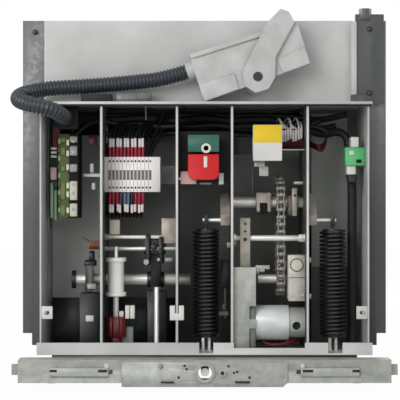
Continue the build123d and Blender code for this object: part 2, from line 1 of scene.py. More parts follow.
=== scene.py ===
# %% [markdown]
# # A vacuum circuit breaker on its truck
#
# The real object is a medium-voltage breaker with its front cover off: folded sheet steel round an open
# spring mechanism. The construction comes in as a fixed frame, already at its real size. This script gives
# every surface its finish and adds what is too fine for the frame, such as wires and screws.

# %% Load the frame
import math
import random

import bpy
from mathutils import Matrix, Vector


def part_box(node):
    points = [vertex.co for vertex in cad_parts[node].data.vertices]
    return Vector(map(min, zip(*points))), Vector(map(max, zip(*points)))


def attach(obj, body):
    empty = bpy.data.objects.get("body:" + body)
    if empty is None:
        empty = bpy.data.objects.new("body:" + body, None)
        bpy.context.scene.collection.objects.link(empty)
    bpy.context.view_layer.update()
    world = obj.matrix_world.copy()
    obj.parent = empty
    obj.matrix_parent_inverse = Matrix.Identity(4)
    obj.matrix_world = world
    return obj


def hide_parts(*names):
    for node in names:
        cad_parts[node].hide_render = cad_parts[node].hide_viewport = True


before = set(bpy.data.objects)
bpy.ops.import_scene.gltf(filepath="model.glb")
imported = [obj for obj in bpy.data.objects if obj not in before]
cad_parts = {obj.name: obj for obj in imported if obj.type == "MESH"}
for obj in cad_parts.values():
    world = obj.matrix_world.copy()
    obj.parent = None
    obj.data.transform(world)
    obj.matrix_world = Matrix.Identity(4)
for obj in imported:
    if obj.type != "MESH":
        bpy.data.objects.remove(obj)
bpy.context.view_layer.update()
MM = 0.001

# %% [markdown]
# ## Camera
#
# The picture looks straight at the middle of the front from about 2.45 m. A long lens keeps uprights
# parallel, and the side walls still narrow a little towards the back, which tells how deep the box is.

# %% Set the camera in front of the box
FRAME_WIDTH = 680.8
VIEW_DISTANCE = 2450
SENSOR_WIDTH = 36
BOX_FRONT = -260
VIEW_CENTRE = (-7.7, 322)
camera_data = bpy.data.cameras.new("front_camera")
camera_data.sensor_width = SENSOR_WIDTH
camera_data.lens = SENSOR_WIDTH * VIEW_DISTANCE / FRAME_WIDTH
camera = bpy.data.objects.new("front_camera", camera_data)
camera.location = Vector((VIEW_CENTRE[0], BOX_FRONT - VIEW_DISTANCE, VIEW_CENTRE[1])) * MM
camera.rotation_euler = (math.pi / 2, 0, 0)
bpy.context.collection.objects.link(camera)
bpy.context.scene.camera = camera
print("lens", round(camera_data.lens, 1), "mm")

# %% [markdown]
# ## Nodes and colours
#
# Materials are built from nodes. One small function adds a node with its settings and links, and another
# turns a hex colour, as a paint chart gives it, into the linear values that the shader works in.

# %% Helpers for materials


def colour(hex_code):
    """Turn an sRGB hex colour into linear red, green, blue and alpha."""
    channels = [int(hex_code[i:i + 2], 16) / 255 for i in (1, 3, 5)]
    return [c / 12.92 if c <= 0.04045 else ((c + 0.055) / 1.055) ** 2.4 for c in channels] + [1]


def add(tree, kind, inputs=None, **settings):
    """Add one node with its settings, and fill or link its inputs, given by name or number."""
    made = tree.nodes.new(kind)
    for key, value in settings.items():
        setattr(made, key, value)
    for key, value in (inputs or {}).items():
        if isinstance(value, bpy.types.NodeSocket):
            tree.links.new(value, made.inputs[key])
        else:
            made.inputs[key].default_value = value
    return made


def blank_material(name):
    """A material with an empty node tree, and its object coordinates."""
    material = bpy.data.materials.new(name)
    material.use_nodes = True
    tree = material.node_tree
    tree.nodes.clear()
    return material, tree, add(tree, "ShaderNodeTexCoord").outputs["Object"]


def per_metre(size_mm):
    """The scale of a pattern whose features are this many millimetres apart."""
    return 1000 / size_mm


def blotches(tree, place, size_mm, dark, light, detail=3):
    """A soft random mix of two colours, in patches of the given size."""
    noise = add(tree, "ShaderNodeTexNoise", {"Vector": place, "Scale": per_metre(size_mm), "Detail": detail})
    ramp = add(tree, "ShaderNodeValToRGB", {"Fac": noise.outputs["Fac"]})
    ramp.color_ramp.elements[0].position = 0.35
    ramp.color_ramp.elements[1].position = 0.65
    ramp.color_ramp.elements[0].color = colour(dark)
    ramp.color_ramp.elements[1].color = colour(light)
    return ramp.outputs["Color"]


def spread(tree, value, low, high):
    """Map a 0 to 1 value to a range."""
    return add(tree, "ShaderNodeMapRange", {"Value": value, "To Min": low, "To Max": high}).outputs["Result"]


def relief(tree, height, depth_mm, strength=1.0):
    """A bump of the given depth."""
    return add(tree, "ShaderNodeBump", {"Height": height, "Distance": depth_mm * MM,
                                        "Strength": strength}).outputs["Normal"]


def shade(tree, inputs):
    """The shader and the output."""
    surface = add(tree, "ShaderNodeBsdfPrincipled", inputs)
    add(tree, "ShaderNodeOutputMaterial", {"Surface": surface.outputs["BSDF"]})


# %% [markdown]
# ## Painted and plated sheet
#
# The box is folded from steel sheet. Powder coat is a baked plastic paint: satin, with a faint orange-peel
# relief. Bare zinc-coated sheet is duller and darker, with grains that catch the light differently.

# %% Sheet finishes
# Painted shade: the heights between which a zinc sheet darkens towards its foot.
SHADED_FOOT = (300, 480)


def powder_coat(name, dark, light, roughness=0.45):
    """Powder-coated steel: an even satin colour with orange peel about 2 mm across."""
    material, tree, place = blank_material(name)
    tone = blotches(tree, place, 90, dark, light)
    peel = add(tree, "ShaderNodeTexNoise", {"Vector": place, "Scale": per_metre(2.2), "Detail": 1})
    smears = add(tree, "ShaderNodeTexNoise", {"Vector": place, "Scale": per_metre(40), "Detail": 4})
    shade(tree, {"Base Color": tone, "IOR": 1.5,
                 "Roughness": spread(tree, smears.outputs["Fac"], roughness - 0.06, roughness + 0.08),
                 "Normal": relief(tree, peel.outputs["Fac"], 0.05, 0.5)})
    return material


def zinc_sheet(name, dark, light, metallic=0.55, foot_shade=1.0):
    """Hot-dip galvanised sheet: crystal grains about 7 mm across, rolling streaks, and, where asked, painted
    shade that darkens it towards the foot.
    """
    material, tree, place = blank_material(name)
    grains = add(tree, "ShaderNodeTexVoronoi", {"Vector": place, "Scale": per_metre(7), "Randomness": 1})
    flat = add(tree, "ShaderNodeMapping", {"Vector": place, "Scale": (1, 1, 0.04)})
    streaks = add(tree, "ShaderNodeTexNoise", {"Vector": flat.outputs["Vector"], "Scale": per_metre(5),
                                               "Detail": 3})
    tone = blotches(tree, flat.outputs["Vector"], 30, dark, light)
    speckle = add(tree, "ShaderNodeSeparateColor", {"Color": grains.outputs["Color"]})
    rough = spread(tree, speckle.outputs["Red"], 0.38, 0.56)
    height = add(tree, "ShaderNodeSeparateXYZ", {"Vector": place})
    foot_shading = add(tree, "ShaderNodeMapRange", {"Value": height.outputs["Z"], "To Min": foot_shade,
                                              "From Min": SHADED_FOOT[0] * MM, "From Max": SHADED_FOOT[1] * MM})
    tone = add(tree, "ShaderNodeVectorMath", {0: tone, 1: foot_shading.outputs["Result"]},
               operation="MULTIPLY").outputs["Vector"]
    shade(tree, {"Base Color": tone, "Metallic": metallic, "Roughness": rough,
                 "Normal": relief(tree, streaks.outputs["Fac"], 0.03, 0.4)})
    return material


def zinc_plate(name, dark, light):
    """Electroplated zinc, passivated: a thin warm, slightly cloudy metal."""
    material, tree, place = blank_material(name)
    tone = blotches(tree, place, 16, dark, light, 5)
    grain = add(tree, "ShaderNodeTexNoise", {"Vector": place, "Scale": per_metre(0.9), "Detail": 2})
    shade(tree, {"Base Color": tone, "Metallic": 0.3,
                 "Roughness": spread(tree, grain.outputs["Fac"], 0.45, 0.6),
                 "Normal": relief(tree, grain.outputs["Fac"], 0.02, 0.4)})
    return material


pale_coat = powder_coat("powder_coat_pale_grey", "#bdbdbb", "#cccccb")
edge_coat = powder_coat("powder_coat_partition", "#c3c6c2", "#d4d6d2")
inner_coat = powder_coat("powder_coat_dark_grey", "#878b87", "#9a9e9a", 0.55)
# Painted shade: the wings' dark grey is partly the shade they stand in, and their foot is darkened further.
shaded_wing_zinc = zinc_sheet("galvanised_wing_sheet_painted_shade", "#606262", "#767878", 0.3, 0.62)
post_zinc = zinc_sheet("galvanised_post_sheet", "#4c4e4e", "#5c5e5e", 0.3)
# Galvanised grey; on the partitions' sides it is painted shade over their pale paint.
wall_grey_and_shade = zinc_sheet("galvanised_wall_grey_and_painted_shade", "#5d605e", "#777a78")
bar_zinc = zinc_plate("zinc_plated_crossbar", "#9c9f99", "#b0b3ac")
warm_zinc = zinc_plate("zinc_plated_mechanism", "#a89f95", "#c4bab0")
lever_zinc = zinc_plate("zinc_plated_lever", "#9b9588", "#b1ab9e")
gear_zinc = zinc_plate("zinc_plated_gearbox", "#b9b3ac", "#d0cac4")

# %% [markdown]
# ## Steel, castings and plastics
#
# Turned and ground steel is bright, with lines round it. Springs are blackened and oiled, so they only catch
# narrow highlights. Mouldings are coloured right through, with the fine spark texture of their mould.

# %% Finishes of bars, castings and mouldings


def turned_steel(name, base, roughness=0.24):
    """Ground bar: bright metal with lathe lines half a millimetre apart, drawn at 1.2 mm to show."""
    material, tree, place = blank_material(name)
    lines = add(tree, "ShaderNodeTexWave", {"Vector": place, "Scale": per_metre(1.2) / math.tau,
                                            "Distortion": 2}, bands_direction="X")
    wipe = add(tree, "ShaderNodeTexNoise", {"Vector": place, "Scale": per_metre(12), "Detail": 3})
    shade(tree, {"Base Color": colour(base), "Metallic": 0.45,
                 "Roughness": spread(tree, wipe.outputs["Fac"], roughness - 0.05, roughness + 0.1),
                 "Normal": relief(tree, lines.outputs["Fac"], 0.004, 0.3)})
    return material


def blackened_steel(name, base="#141517", roughness=0.34):
    """Black-oxide steel with an oil film: dark, with a soft narrow shine."""
    material, tree, place = blank_material(name)
    film = add(tree, "ShaderNodeTexNoise", {"Vector": place, "Scale": per_metre(6), "Detail": 4})
    shade(tree, {"Base Color": colour(base), "Metallic": 0.2, "Coat Weight": 0.35, "Coat Roughness": 0.25,
                 "Roughness": spread(tree, film.outputs["Fac"], roughness - 0.08, roughness + 0.14),
                 "Normal": relief(tree, film.outputs["Fac"], 0.03, 0.4)})
    return material


def cast_metal(name, dark, light, metallic=0.0, roughness=0.42, grain_mm=1.6):
    """A painted or blasted casting: a fine pebbled skin."""
    material, tree, place = blank_material(name)
    tone = blotches(tree, place, 35, dark, light)
    skin = add(tree, "ShaderNodeTexNoise", {"Vector": place, "Scale": per_metre(grain_mm), "Detail": 2})
    shade(tree, {"Base Color": tone, "Metallic": metallic,
                 "Roughness": spread(tree, skin.outputs["Fac"], roughness - 0.06, roughness + 0.1),
                 "Normal": relief(tree, skin.outputs["Fac"], 0.08, 0.5)})
    return material


def moulding(name, base, roughness=0.36, grain_mm=1.1):
    """Injection-moulded thermoplastic: one colour, a mild shine and the spark texture of the mould."""
    material, tree, place = blank_material(name)
    spark = add(tree, "ShaderNodeTexNoise", {"Vector": place, "Scale": per_metre(grain_mm), "Detail": 1})
    handling = add(tree, "ShaderNodeTexNoise", {"Vector": place, "Scale": per_metre(18), "Detail": 3})
    shade(tree, {"Base Color": colour(base), "IOR": 1.5,
                 "Roughness": spread(tree, handling.outputs["Fac"], roughness - 0.05, roughness + 0.1),
                 "Normal": relief(tree, spark.outputs["Fac"], 0.03, 0.45)})
    return material


def cast_epoxy(name, dark, light):
    """Silica-filled epoxy, vacuum cast: glossy red-brown with faint flow clouds."""
    material, tree, place = blank_material(name)
    shade(tree, {"Base Color": blotches(tree, place, 60, dark, light, 5), "IOR": 1.55, "Roughness": 0.3,
                 "Coat Weight": 0.25, "Coat Roughness": 0.12})
    return material


ground_bar = turned_steel("ground_steel", "#eceae5", 0.42)
chain_bar = turned_steel("oiled_chain_steel", "#98958c", 0.42)
silver_plate = turned_steel("silver_plated_copper", "#c9c6bc", 0.3)
copper_wire = turned_steel("tinned_copper", "#a8643c", 0.35)
black_oxide = blackened_steel("black_oxide_spring")
lever_black = blackened_steel("black_oxide_lever", "#161719", 0.5)
motor_alloy = cast_metal("blasted_motor_can", "#c6ccca", "#dbe0de", 0.2, 0.45, 1.2)
cap_alloy = cast_metal("blasted_motor_cap", "#a6a9a5", "#babdb8", 0.2, 0.5, 1.2)
hood_paint = cast_metal("painted_die_casting", "#b2b2b1", "#c3c3c2", 0.0, 0.4, 2.0)
resin = cast_epoxy("cast_epoxy_resin", "#6a3226", "#83463a")
slot_grey = moulding("terminal_slot_shadow_moulding", "#6a6664", 0.5)
teal_moulding = moulding("teal_pushbutton_moulding", "#245a4c", 0.45)
red_moulding = moulding("red_pushbutton_moulding", "#c8000c", 0.5)
yellow_moulding = moulding("yellow_label_moulding", "#e6c31c", 0.42)
field_white = moulding("white_label_moulding", "#d6d4cf", 0.42)
blush_moulding = moulding("blush_moulding", "#c8a5a0", 0.45)
terminal_white = moulding("white_terminal_moulding", "#fff8f4", 0.42)
olive_dark = moulding("dark_olive_laminate", "#4c5a28", 0.5, 2.5)
# Black moulding; also used as painted shade on the gland bracket, in the yoke's opening, on backing sheets
# and under the roof's lip.
darkest_black_and_shade = moulding("darkest_moulding_and_painted_shade", "#060707", 0.85)
painted_light_back_coat = powder_coat("powder_coat_painted_light_back", "#c8ccc8", "#d6dad6", 0.6)
damper_white = moulding("white_damper_moulding", "#f6f4f0", 0.4)
maroon_gloss = moulding("maroon_connector_moulding", "#5c1020", 0.35)
white_moulding = moulding("white_moulding", "#dddbd6", 0.4)
cream_moulding = moulding("cream_moulding", "#cfc9ba", 0.45)
tag_moulding = moulding("wire_tag_moulding", "#dcd4d4", 0.4)
green_moulding = moulding("green_relay_moulding", "#5fbd78", 0.38)
olive_laminate = moulding("olive_laminate", "#6f7c3c", 0.5, 2.5)
pale_green = moulding("pale_green_moulding", "#8aa588", 0.45)
# Grey moulding; also used as painted shade for the groove under the plug's ridge.
grey_moulding_and_shade = moulding("grey_chamber_moulding_and_painted_shade", "#9a9d98", 0.45)
black_moulding = moulding("black_moulding", "#191a1c", 0.4)
dark_red_moulding = moulding("dark_red_moulding", "#640e1a", 0.35)
slate_moulding = moulding("slate_moulding", "#7c8985", 0.5)
red_wire = moulding("red_wire_insulation", "#9c1430", 0.4, 0.8)
maroon_wire = moulding("maroon_wire_insulation", "#54101c", 0.45, 0.8)
blue_wire = moulding("blue_grey_wire_insulation", "#5d7690", 0.42, 0.8)
violet_wire = moulding("violet_wire_insulation", "#4a2a5c", 0.42, 0.8)
black_wire = moulding("black_wire_insulation", "#101113", 0.45, 0.8)
conduit_nylon = moulding("black_conduit_nylon", "#2a3137", 0.33, 0.9)
rubber = moulding("black_rubber", "#1b1c1d", 0.7, 1.5)
sleeve_nylon = moulding("braided_harness_sleeve", "#131416", 0.6, 1.2)
print("materials", len(bpy.data.materials))


# %% [markdown]
# ## Modelling
#
# Small parts are started from a primitive or a drawn outline, which is then bevelled, grooved or joined. Each
# piece is made at its place, and the place is applied to the mesh, as in the frame's own parts.

# %% Helpers for pieces


def deselect():
    """Leave edit mode and deselect all."""
    if bpy.context.object and bpy.context.object.mode == "EDIT":
        bpy.ops.object.mode_set(mode="OBJECT")
    bpy.ops.object.select_all(action="DESELECT")


def pick(piece):
    """Select one piece alone and make it active."""
    deselect()
    piece.select_set(True)
    bpy.context.view_layer.objects.active = piece


def put(name, data):
    """Put new data into the scene as an object and pick it."""
    made = bpy.data.objects.new(name, data)
    bpy.context.collection.objects.link(made)
    pick(made)
    return made


def edit_all():
    """Open the picked piece's mesh with everything selected."""
    bpy.ops.object.mode_set(mode="EDIT")
    bpy.ops.mesh.select_all(action="SELECT")


def face_outwards():
    """Turn all faces of the mesh in edit mode outwards, and close it."""
    bpy.ops.mesh.normals_make_consistent(inside=False)
    bpy.ops.object.mode_set(mode="OBJECT")


def settle(piece, material, bevel_mm=0.0, segments=2):
    """Apply the place of a new piece, round its edges and give it a finish."""
    pick(piece)
    bpy.ops.object.transform_apply(location=True, rotation=True, scale=True)
    if bevel_mm:
        rounding = piece.modifiers.new("rounding", "BEVEL")
        rounding.width = bevel_mm * MM
        rounding.segments = segments
        rounding.limit_method = "ANGLE"
        rounding.angle_limit = math.radians(40)
        rounding.harden_normals = True
        bpy.ops.object.modifier_apply(modifier=rounding.name)
    bpy.ops.object.shade_smooth_by_angle(angle=math.radians(35))
    piece.data.materials.clear()
    piece.data.materials.append(material)
    return piece


def slab(x, y, z, material, bevel_mm=0.4):
    """A rectangular piece between two ends on each axis, in millimetres, with rounded edges."""
    deselect()
    middle = Vector([sum(span) / 2 for span in (x, y, z)]) * MM
    bpy.ops.mesh.primitive_cube_add(size=1, location=middle)
    bpy.context.object.scale = Vector([abs(span[1] - span[0]) for span in (x, y, z)]) * MM
    return settle(bpy.context.object, material, bevel_mm)


def slabs(material, bevel_mm, *boxes):
    """Several slabs of one finish, each given by its spans on X, Y and Z."""
    return [slab(*box, material, bevel_mm) for box in boxes]


TURN = {"X": (0, math.pi / 2, 0), "Y": (math.pi / 2, 0, 0), "Z": (0, 0, 0)}


def round_bar(axis, radius, ends, middle, material, bevel_mm=0.3, sides=24):
    """A round piece along an axis. The middle is given on the other two axes, in order."""
    deselect()
    centre = list(middle)
    centre.insert("XYZ".index(axis), sum(ends) / 2)
    bpy.ops.mesh.primitive_cylinder_add(vertices=sides, radius=radius * MM, depth=abs(ends[1] - ends[0]) * MM,
                                        location=Vector(centre) * MM, rotation=TURN[axis])
    return settle(bpy.context.object, material, bevel_mm)


def ring(axis, radius, thickness, centre, material):
    """A round ring, such as a boss's rim or a symbol."""
    deselect()
    bpy.ops.mesh.primitive_torus_add(major_radius=radius * MM, minor_radius=thickness * MM, major_segments=32,
                                     minor_segments=10, location=Vector(centre) * MM, rotation=TURN[axis])
    return settle(bpy.context.object, material)


def join(pieces):
    """Join several pieces into one mesh."""
    pick(pieces[0])
    for piece in pieces:
        piece.select_set(True)
    if len(pieces) > 1:
        bpy.ops.object.join()
    return pieces[0]


HEX_CORNER = 0.577
WASHER_RIM = 0.62


def hex_bolt(axis, across, height, base, direction, material):
    """A hexagon head on its washer, standing on base. Its size is the width across its flats."""
    along = "XYZ".index(axis)
    rest = [value for number, value in enumerate(base) if number != along]
    foot = base[along]
    top = foot + direction
    washer = round_bar(axis, across * WASHER_RIM, (foot, top), rest, material, 0.2)
    head = round_bar(axis, across * HEX_CORNER, (top, top + direction * height), rest, material, 0.5, 6)
    return join([washer, head])


def prism(axis, outline, ends, material, bevel_mm=0.0, segments=2):
    """A plate with a drawn outline, cut square to an axis; the outline holds the other two coordinates."""
    corners = []
    for end in ends:
        for pair in outline:
            place = list(pair)
            place.insert("XYZ".index(axis), end)
            corners.append(Vector(place) * MM)
    count = len(outline)
    faces = [tuple(range(count)), tuple(range(count, 2 * count))]
    for here in range(count):
        after = (here + 1) % count
        faces.append((here, after, count + after, count + here))
    mesh = bpy.data.meshes.new("plate")
    mesh.from_pydata(corners, [], faces)
    made = put("plate", mesh)
    edit_all()
    face_outwards()
    return settle(made, material, bevel_mm, segments)


def circle(middle, radius, angle):
    """A point of a circle, as a pair."""
    return middle[0] + radius * math.cos(angle), middle[1] + radius * math.sin(angle)


def copy_by(piece, shift):
    """A copy of a finished piece with its own mesh, moved by a distance in millimetres."""
    made = put(piece.name + "_copy", piece.data.copy())
    made.data.transform(Matrix.Translation(Vector(shift) * MM))
    return made


def spline_line(name, points, order, resolution):
    """One smooth spline with the points, in millimetres, as its control points."""
    line = bpy.data.curves.new(name, "CURVE")
    line.dimensions = "3D"
    line.resolution_u = resolution
    spline = line.splines.new("NURBS")
    spline.points.add(len(points) - 1)
    for point, place in zip(spline.points, points):
        point.co = (*(Vector(place) * MM), 1)
    spline.order_u = min(order, len(points))
    spline.use_endpoint_u = True
    return line


def tube(points, radius, material, sides=4):
    """A bent wire or rod as a mesh: a smooth line through listed points, given a round section."""
    line = spline_line("line", points, 4, 6)
    line.bevel_depth = radius * MM
    line.bevel_resolution = sides - 2
    line.use_fill_caps = True
    put("line", line)
    bpy.ops.object.convert(target="MESH")
    made = bpy.context.object
    made.data.materials.clear()
    made.data.materials.append(material)
    bpy.ops.object.shade_smooth()
    return made


def mount(piece, name, body="frame", replaces=()):
    """Name a piece, or a joined list, let it ride on its body and hide the frame parts it stands for."""
    if isinstance(piece, list):
        piece = join(piece)
    piece.name = name
    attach(piece, body)
    if replaces:
        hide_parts(*replaces)
    return piece


def refinish(node, slot, material, bevel_mm, *coats, ending="dressed", body="frame", segments=2):
    """Stand in for a frame part with a copy whose edges are rounded, as folded and cast edges are.

    Each coat is a second finish and a test, which gets a face's middle, in millimetres, and its normal.
    """
    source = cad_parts[node]
    piece = put(node, source.data.copy())
    piece.matrix_world = source.matrix_world.copy()
    edit_all()
    bpy.ops.mesh.remove_doubles(threshold=0.00001)
    bpy.ops.mesh.dissolve_limited(angle_limit=math.radians(0.5))
    bpy.ops.object.mode_set(mode="OBJECT")
    settle(piece, material, bevel_mm, segments)
    for number, (coat, chosen) in enumerate(coats):
        piece.data.materials.append(coat)
        for face in piece.data.polygons:
            if chosen(face.center * 1000, face.normal):
                face.material_index = number + 1
    return mount(piece, f"{node}_{ending}", body, [node])


def finish_node(node, material):
    """Give a frame part that stays as it is its finish."""
    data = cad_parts[node].data
    data.materials.clear()
    data.materials.append(material)


# %% [markdown]
# ## Conduit
#
# The black conduit is one fixed length of corrugated nylon, from the gland under the roof, out in front of
# the box, round over the roof and up to the plug. Its line is one smooth spline, and the ribs follow it as
# rings of two radii, because ribs that only exist as shading would leave a plain pipe's outline.

# %% Model the corrugated conduit
PLUG_TILT = math.radians(17.5)
PLUG_PIN = Vector((91, -218, 490.3 + 100 * math.sin(PLUG_TILT) + 13 * math.cos(PLUG_TILT)))


def on_plug(u, v, y=-218):
    """A point given along and across the tilted plug, from its pin."""
    return (PLUG_PIN.x + u * math.cos(PLUG_TILT) - v * math.sin(PLUG_TILT), y,
            PLUG_PIN.z + u * math.sin(PLUG_TILT) + v * math.cos(PLUG_TILT))


conduit_route = [(-240, -243, 464), (-240, -270, 464), (-258, -293, 476), (-292, -296, 482),
                 (-318, -272, 491), (-316, -240, 503), (-288, -222, 512), (-262, -219, 515.5),
                 (-215, -218.5, 518), (-168, -218, 521.5), (-118, -218, 526), on_plug(-153, 47),
                 on_plug(-113, 47)]
harness_route = [(-240, -227, 464), (-240, -188, 464), (-215, -150, 472), (-176, -140, 462),
                 (-110, -132, 470), (-47, -136, 462), (0, -132, 470), (47, -136, 462), (110, -132, 468),
                 (176, -138, 452), (210, -142, 437), (243, -158, 446), (258, -168, 420), (257, -172, 360)]


def points_of(line):
    """The points of a spline's own line, and how far along it each one lies."""
    holder = put("holder", line)
    bpy.context.view_layer.update()
    mesh = bpy.data.meshes.new_from_object(holder.evaluated_get(bpy.context.evaluated_depsgraph_get()))
    points = [v.co.copy() for v in mesh.vertices]
    bpy.data.objects.remove(holder)
    bpy.data.meshes.remove(mesh)
    along = [0.0]
    for here, after in zip(points, points[1:]):
        along.append(along[-1] + (after - here).length)
    return points, along


def place_along(points, along, distance):
    """The point at a distance along the line, and the line's direction there."""
    number = 0
    while number < len(along) - 2 and along[number + 1] < distance:
        number += 1
    run = points[number + 1] - points[number]
    share = (distance - along[number]) / max(along[number + 1] - along[number], 1e-9)
    return points[number] + run * share, run.normalized()


def ringed_tube(name, points, along, radii, step, sides, material):
    """A tube of rings along a line, whose radii repeat from ring to ring."""
    total = along[-1]
    count = int(total / step)
    corners, faces = [], []
    across = Vector((0, 0, 1))
    for number in range(count + 1):
        middle, ahead = place_along(points, along, total * number / count)
        side = ahead.cross(across)
        side.normalize()
        across = side.cross(ahead)
        across.normalize()
        radius = radii[number % len(radii)]
        for corner in range(sides):
            angle = math.tau * corner / sides
            corners.append(middle + (side * math.cos(angle) + across * math.sin(angle)) * radius)
    for number in range(count):
        for corner in range(sides):
            after = (corner + 1) % sides
            low, high = number * sides, (number + 1) * sides
            faces.append((low + corner, low + after, high + after, high + corner))
    faces.append(tuple(reversed(range(sides))))
    faces.append(tuple(count * sides + corner for corner in range(sides)))
    mesh = bpy.data.meshes.new(name)
    mesh.from_pydata(corners, [], faces)
    mesh.materials.append(material)
    made = put(name, mesh)
    edit_all()
    face_outwards()
    bpy.ops.object.shade_smooth_by_angle(angle=math.radians(50))
    return made


CONDUIT_RADIUS = 13.5
RIB_DEPTHS = (0, 0, 0.6, 1.9, 1.9, 0.6)
RIB_PITCH = 6.2
CONDUIT_SIDES = 28
conduit_points, conduit_along = points_of(spline_line("conduit_line", conduit_route, 3, 16))
conduit = ringed_tube("conduit_ribbed", conduit_points, conduit_along,
                      [(CONDUIT_RADIUS - depth) * MM for depth in RIB_DEPTHS],
                      RIB_PITCH * MM / len(RIB_DEPTHS), CONDUIT_SIDES, conduit_nylon)
mount(conduit, "conduit_ribbed", replaces=["conduit"])
print("conduit", round(conduit_along[-1], 4), "m,", len(conduit.data.polygons), "faces")

# %% [markdown]
# ## Wiring harness
#
# The main harness is a bundle in a black sleeve. It runs through the windows at the top of the partitions and
# down to the relay in the right-hand bay. Cable ties hold the sleeve about every 55 mm.

# %% Model the harness and its ties
HARNESS_RADIUS = 7
BRAID_DEPTH = 0.25
BRAID_STEP = 2.2
TIE_SPACING = 55
FIRST_TIE = 25
harness_points, harness_along = points_of(spline_line("harness_line", harness_route, 3, 16))
harness = ringed_tube("harness_sleeve", harness_points, harness_along,
                      [HARNESS_RADIUS * MM, (HARNESS_RADIUS - BRAID_DEPTH) * MM], BRAID_STEP * MM, 20,
                      sleeve_nylon)
mount(harness, "harness_sleeve", replaces=["wiring_harness"])
ties = []
for number in range(int(harness_along[-1] / MM / TIE_SPACING)):
    middle, ahead = place_along(harness_points, harness_along, (FIRST_TIE + number * TIE_SPACING) * MM)
    deselect()
    bpy.ops.mesh.primitive_torus_add(major_radius=7.3 * MM, minor_radius=0.9 * MM, major_segments=24,
                                     minor_segments=6, location=middle,
                                     rotation=ahead.to_track_quat("Z", "Y").to_euler())
    bpy.context.object.scale = (1, 1, 2)
    ties.append(settle(bpy.context.object, black_moulding))
mount(ties, "harness_ties")
print("harness", round(harness_along[-1], 4), "m")

# %% [markdown]
# ## Closing springs
#
# Each closing spring is one steel wire wound into 26 even turns. A Screw modifier sweeps the round wire
# section along a helix, which gives true coils where the frame only has rings.

# %% Wind the two springs


def wind(radius, wire, pitch, turns, material, middle=(0, 0, 0), steps=28, sides=10):
    """A helical spring along Z: a wire's section swept up a helix."""
    deselect()
    bpy.ops.mesh.primitive_circle_add(vertices=sides, radius=wire / 2 * MM,
                                      location=(radius * MM, 0, 0), rotation=(math.pi / 2, 0, 0))
    coil = bpy.context.object
    bpy.ops.object.transform_apply(location=True, rotation=True, scale=True)
    screw = coil.modifiers.new("winding", "SCREW")
    screw.screw_offset = pitch * MM
    screw.iterations = turns
    screw.steps = steps
    screw.render_steps = steps
    bpy.ops.object.modifier_apply(modifier=screw.name)
    edit_all()
    bpy.ops.mesh.remove_doubles(threshold=0.00001)
    bpy.ops.mesh.select_all(action="DESELECT")
    bpy.ops.mesh.select_non_manifold()
    bpy.ops.mesh.edge_face_add()
    bpy.ops.mesh.select_all(action="SELECT")
    face_outwards()
    coil.location = Vector(middle) * MM
    return settle(coil, material)


SPRING_TURNS = 26
SPRING_WIRE = 5.2
for side in ("left", "right"):
    low, high = (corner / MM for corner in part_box("closing_spring_" + side))
    coil = wind((high.x - low.x - SPRING_WIRE) / 2, SPRING_WIRE,
                (high.z - low.z - SPRING_WIRE) / SPRING_TURNS,
                SPRING_TURNS, black_oxide, ((low.x + high.x) / 2, (low.y + high.y) / 2,
                                            low.z + SPRING_WIRE / 2))
    mount(coil, f"closing_spring_coils_{side}", replaces=["closing_spring_" + side])
    print(side, "spring", len(coil.data.polygons), "faces")

# %% [markdown]
# ## Sheet metal of the box
#
# Folded sheet has small radii at its edges, and they catch the light as thin bright lines. The frame parts
# are copied, their loose triangles merged, and their sharp edges rounded by a Bevel modifier.

# %% Dress the box
for node, finish, slot in (("roof_plate", pale_coat, "pale_painted_sheet"),
                           ("floor_tray", pale_coat, "pale_painted_sheet"),
                           ("upper_sheet", pale_coat, "pale_painted_sheet"),
                           ("left_wing", shaded_wing_zinc, "grey_zinc_sheet"),
                           ("right_wing", shaded_wing_zinc, "grey_zinc_sheet"),
                           ("left_side_wall", pale_coat, "grey_zinc_sheet"),
                           ("right_side_wall", pale_coat, "grey_zinc_sheet"),
                           ("back_plate", inner_coat, "interior_sheet")):
    refinish(node, slot, finish, 0.6, ending="sheet")
# Painted shade: the partitions are pale painted sheet, but their sides get the darker galvanised grey for the
# shade inside the bays, and only their front faces keep a pale coat.
for number in (1, 2, 3, 4):
    refinish(f"partition_{number}", "pale_painted_sheet", wall_grey_and_shade, 0.5,
             (edge_coat, lambda at, facing: facing.y < -0.3 and at.y < -250), ending="sheet")
refinish("guide_post", "grey_zinc_sheet", post_zinc, 0.6,
         (pale_coat, lambda at, facing: at.x < 264 and at.z > 506),
         (bar_zinc, lambda at, facing: at.z > 648), ending="sheet")
print("box sheets dressed")

# %% [markdown]
# ## Screws of the sheets
#
# The wings and the post are held by dark hexagon screws. One is modelled, a washer with a chamfered hexagon
# head on it, and the others are copies with their own mesh.

# %% Model the screws
screw = hex_bolt("Y", 8, 3.5, (-297, -180.2, 617), -1, black_oxide)
screws = [screw] + [copy_by(screw, shift) for shift in ((594, 0, 0), (586, -11.6, 4), (586, -11.6, -108))]
small = hex_bolt("Y", 5, 2.5, (-271, -257.1, 130), -1, bar_zinc)
screws += [small, copy_by(small, (542, 0, 0))]
mount(screws, "sheet_screws")
print("sheet screws", len(screws))

# %% [markdown]
# ## Truck
#
# The truck's front crossbar is a folded, zinc-plated channel with a raised plate in the middle, where the
# crank for racking the breaker goes in. It is dressed as the box is, with the two latches plated alike. Thin
# dark plates, a little proud so that they show, are painted shade inside its punched slots and holes.

